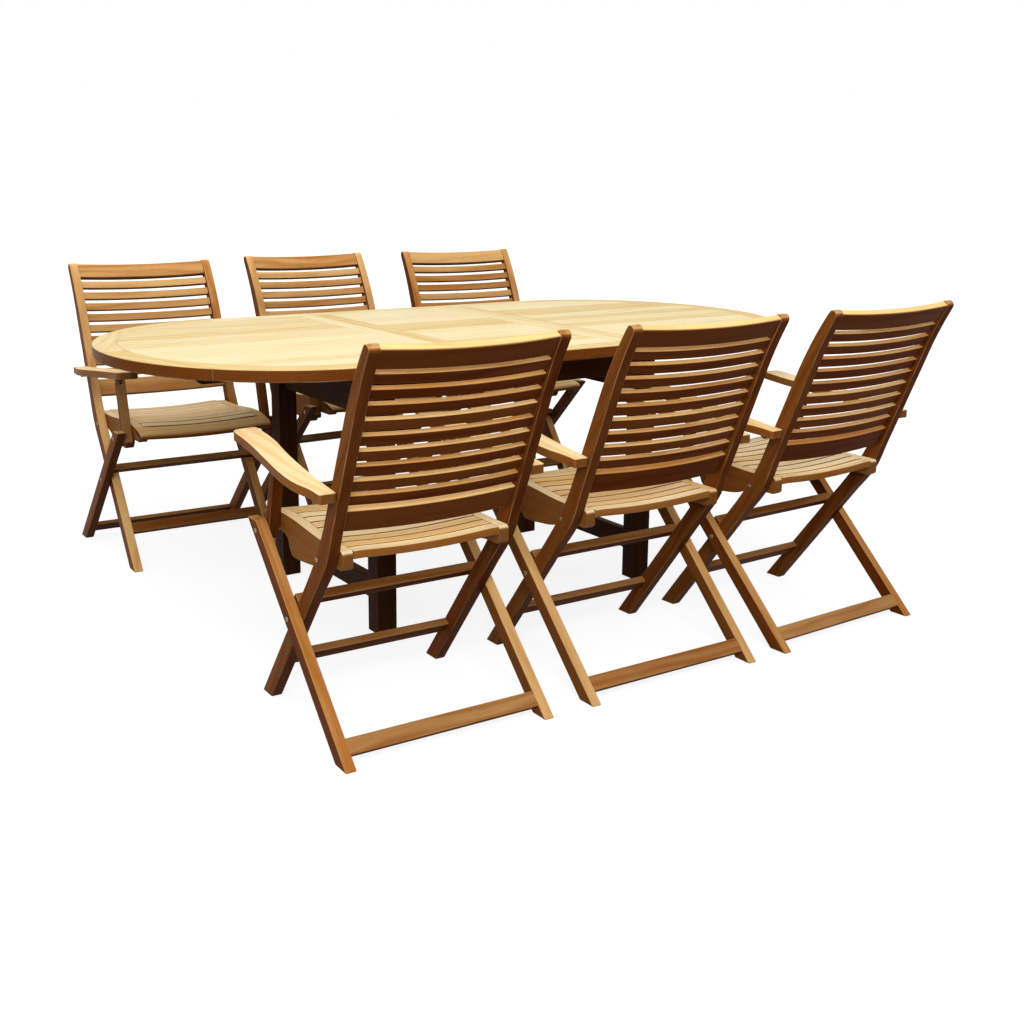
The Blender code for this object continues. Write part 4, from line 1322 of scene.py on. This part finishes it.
def rod(at, radius, low, high):
    bar = bmesh.new()
    bmesh.ops.create_cone(
        bar, cap_ends=True, segments=20, radius1=radius, radius2=radius, depth=high - low
    )
    bmesh.ops.rotate(bar, matrix=Matrix.Rotation(pi / 2, 3, "Y"), verts=bar.verts)
    bmesh.ops.translate(bar, vec=Vector(((low + high) / 2, at.y, at.z)), verts=bar.verts)
    return bar


# %% The bolts that each body carries
bolt_meshes = {
    "rear_legs": [bolt_head(at, side, REAR_OUTER_X) for at in (FOLD_BOLT, ROD) for side in (-1, 1)]
    + [rod(ROD, ROD_RADIUS, -REAR_OUTER_X, REAR_OUTER_X)],
    "seat": [bolt_head(SEAT_BOLT, side, LEG_OUTER_X) for side in (-1, 1)],
    "arm_posts": [bolt_head(POST_BOLT, side, LEG_OUTER_X) for side in (-1, 1)],
    "arms": [bolt_head(ARM_BOLT, side, REAR_OUTER_X) for side in (-1, 1)],
}
bolt_meshes = {body: glue_up(f"{body}_bolts", made) for body, made in bolt_meshes.items()}

# %% [markdown]
# ## Six chairs
#
# The chairs are alike, so each board is copied to the six places. Every copy shifts the
# boards' own numbers, which changes their tone and grain: no two chairs are cut from the
# same planks.

# %% Copy the boards to each chair
# The seats and arms take the paler teak copy, with painted light; the rest takes brown teak.
SHARES = [
    ("frame", "frame", frame_mesh, brown_teak, "teak"),
    ("rear_legs", "rear_legs", rear_mesh, brown_teak, "teak"),
    ("seat", "seat", seat_mesh, lit_honey_teak, "lit_teak"),
    ("left_arm", "arms", arm_meshes["left"], lit_honey_teak, "lit_teak"),
    ("right_arm", "arms", arm_meshes["right"], lit_honey_teak, "lit_teak"),
    ("left_arm_post", "arm_posts", post_meshes["left"], brown_teak, "teak"),
    ("right_arm_post", "arm_posts", post_meshes["right"], brown_teak, "teak"),
]
planks = Random(5)


def placed_copy(mesh, name, place):
    copy = mesh.copy()
    copy.name = name
    copy.transform(place)
    numbers = copy.attributes.get("board")
    if numbers:
        shift = planks.random()
        for item in numbers.data:
            item.value = (item.value + shift) % 1.0
    return copy


for chair, place in places.items():
    for node, body, mesh, material, slot in SHARES:
        name = f"{chair}_{node}_boards"
        copy = placed_copy(mesh, name, place)
        add_piece(name, copy, material, f"{chair}_{body}", [f"{chair}_{node}"])
    for body, mesh in bolt_meshes.items():
        name = f"{chair}_{body}_bolts"
        add_piece(name, placed_copy(mesh, name, place), brass, f"{chair}_{body}")
for mesh in [*(share[2] for share in SHARES), *bolt_meshes.values()]:
    bpy.data.meshes.remove(mesh)
print(len(places), "chairs of", len(SHARES), "boarded pieces each")

# %% [markdown]
# ## Floor and light
#
# To the camera and in reflections the world is white, and so is the floor, apart from a faint
# grey round the set. Both throw less light on the set than they show, so faces that look down
# stay dark. A lamp high above lights everything that looks up, and a wide one from the front
# left fills the legs.

# %% Floor
FLOOR_GREY = 0.30
UNDER_SET = 0.84
SHADED_TO = 1.6
WHITE_FROM = 5.0
floor_mesh = bmesh.new()
bmesh.ops.create_grid(floor_mesh, x_segments=1, y_segments=1, size=14)
floor_data = bpy.data.meshes.new("floor")
floor_mesh.to_mesh(floor_data)
floor_mesh.free()
floor = bpy.data.objects.new("floor", floor_data)
bpy.context.scene.collection.objects.link(floor)
floor.location.z = -0.0005
paint = bpy.data.materials.new("floor_paint")
paint.use_nodes = True
painted = paint.node_tree.nodes["Principled BSDF"]
painted.inputs["Base Color"].default_value = (FLOOR_GREY, FLOOR_GREY, FLOOR_GREY, 1)
painted.inputs["Roughness"].default_value = 0.9
painted.inputs["Specular IOR Level"].default_value = 0.0
painted.inputs["Emission Strength"].default_value = 1.0


def seen_directly(tree):
    """1 for the camera, reflections and glass, and 0 for the light that objects get."""
    wire = Wire(tree, None)
    path = wire.node("ShaderNodeLightPath").socket.node.outputs
    seen = Wire(tree, path["Is Camera Ray"]).greater(Wire(tree, path["Is Glossy Ray"]))
    return seen.greater(Wire(tree, path["Is Transmission Ray"]))


seen = seen_directly(paint.node_tree)
spot = seen.node("ShaderNodeTexCoord", output=3)
away = spot.node("ShaderNodeVectorMath", {"operation": "LENGTH"}, output=1, in0=spot)
near_glow = (UNDER_SET, UNDER_SET, UNDER_SET, 1)
glow = blend(seen, away.ramp(SHADED_TO, WHITE_FROM), near_glow, (1, 1, 1, 1))
glow = blend(seen, seen, (0, 0, 0, 1), glow)
paint.node_tree.links.new(glow.socket, painted.inputs["Emission Color"])
floor_data.materials.append(paint)

# %% World
world = bpy.data.worlds.new("white room")
bpy.context.scene.world = world
world.use_nodes = True
seen = seen_directly(world.node_tree)
background = world.node_tree.nodes["Background"]
background.inputs["Color"].default_value = (1, 1, 1, 1)
AMBIENT = 0.60
world.node_tree.links.new((seen * (1 - AMBIENT) + AMBIENT).socket, background.inputs["Strength"])


# %% Lamps
def soft_lamp(name, at, size, power):
    """A square area lamp that looks at the middle of the table."""
    data = bpy.data.lights.new(name, "AREA")
    data.shape = "SQUARE"
    data.size = size
    data.energy = power
    lamp = bpy.data.objects.new(name, data)
    lamp.location = at
    lamp.rotation_euler = (Vector((0, 0, 0.5)) - Vector(at)).to_track_quat("-Z", "Y").to_euler()
    bpy.context.scene.collection.objects.link(lamp)


soft_lamp("overhead", (-0.6, -1.0, 4.2), size=2.6, power=46)
soft_lamp("front_left", (-2.6, -4.6, 3.2), size=3.0, power=165)
bpy.context.scene.view_settings.view_transform = "Standard"
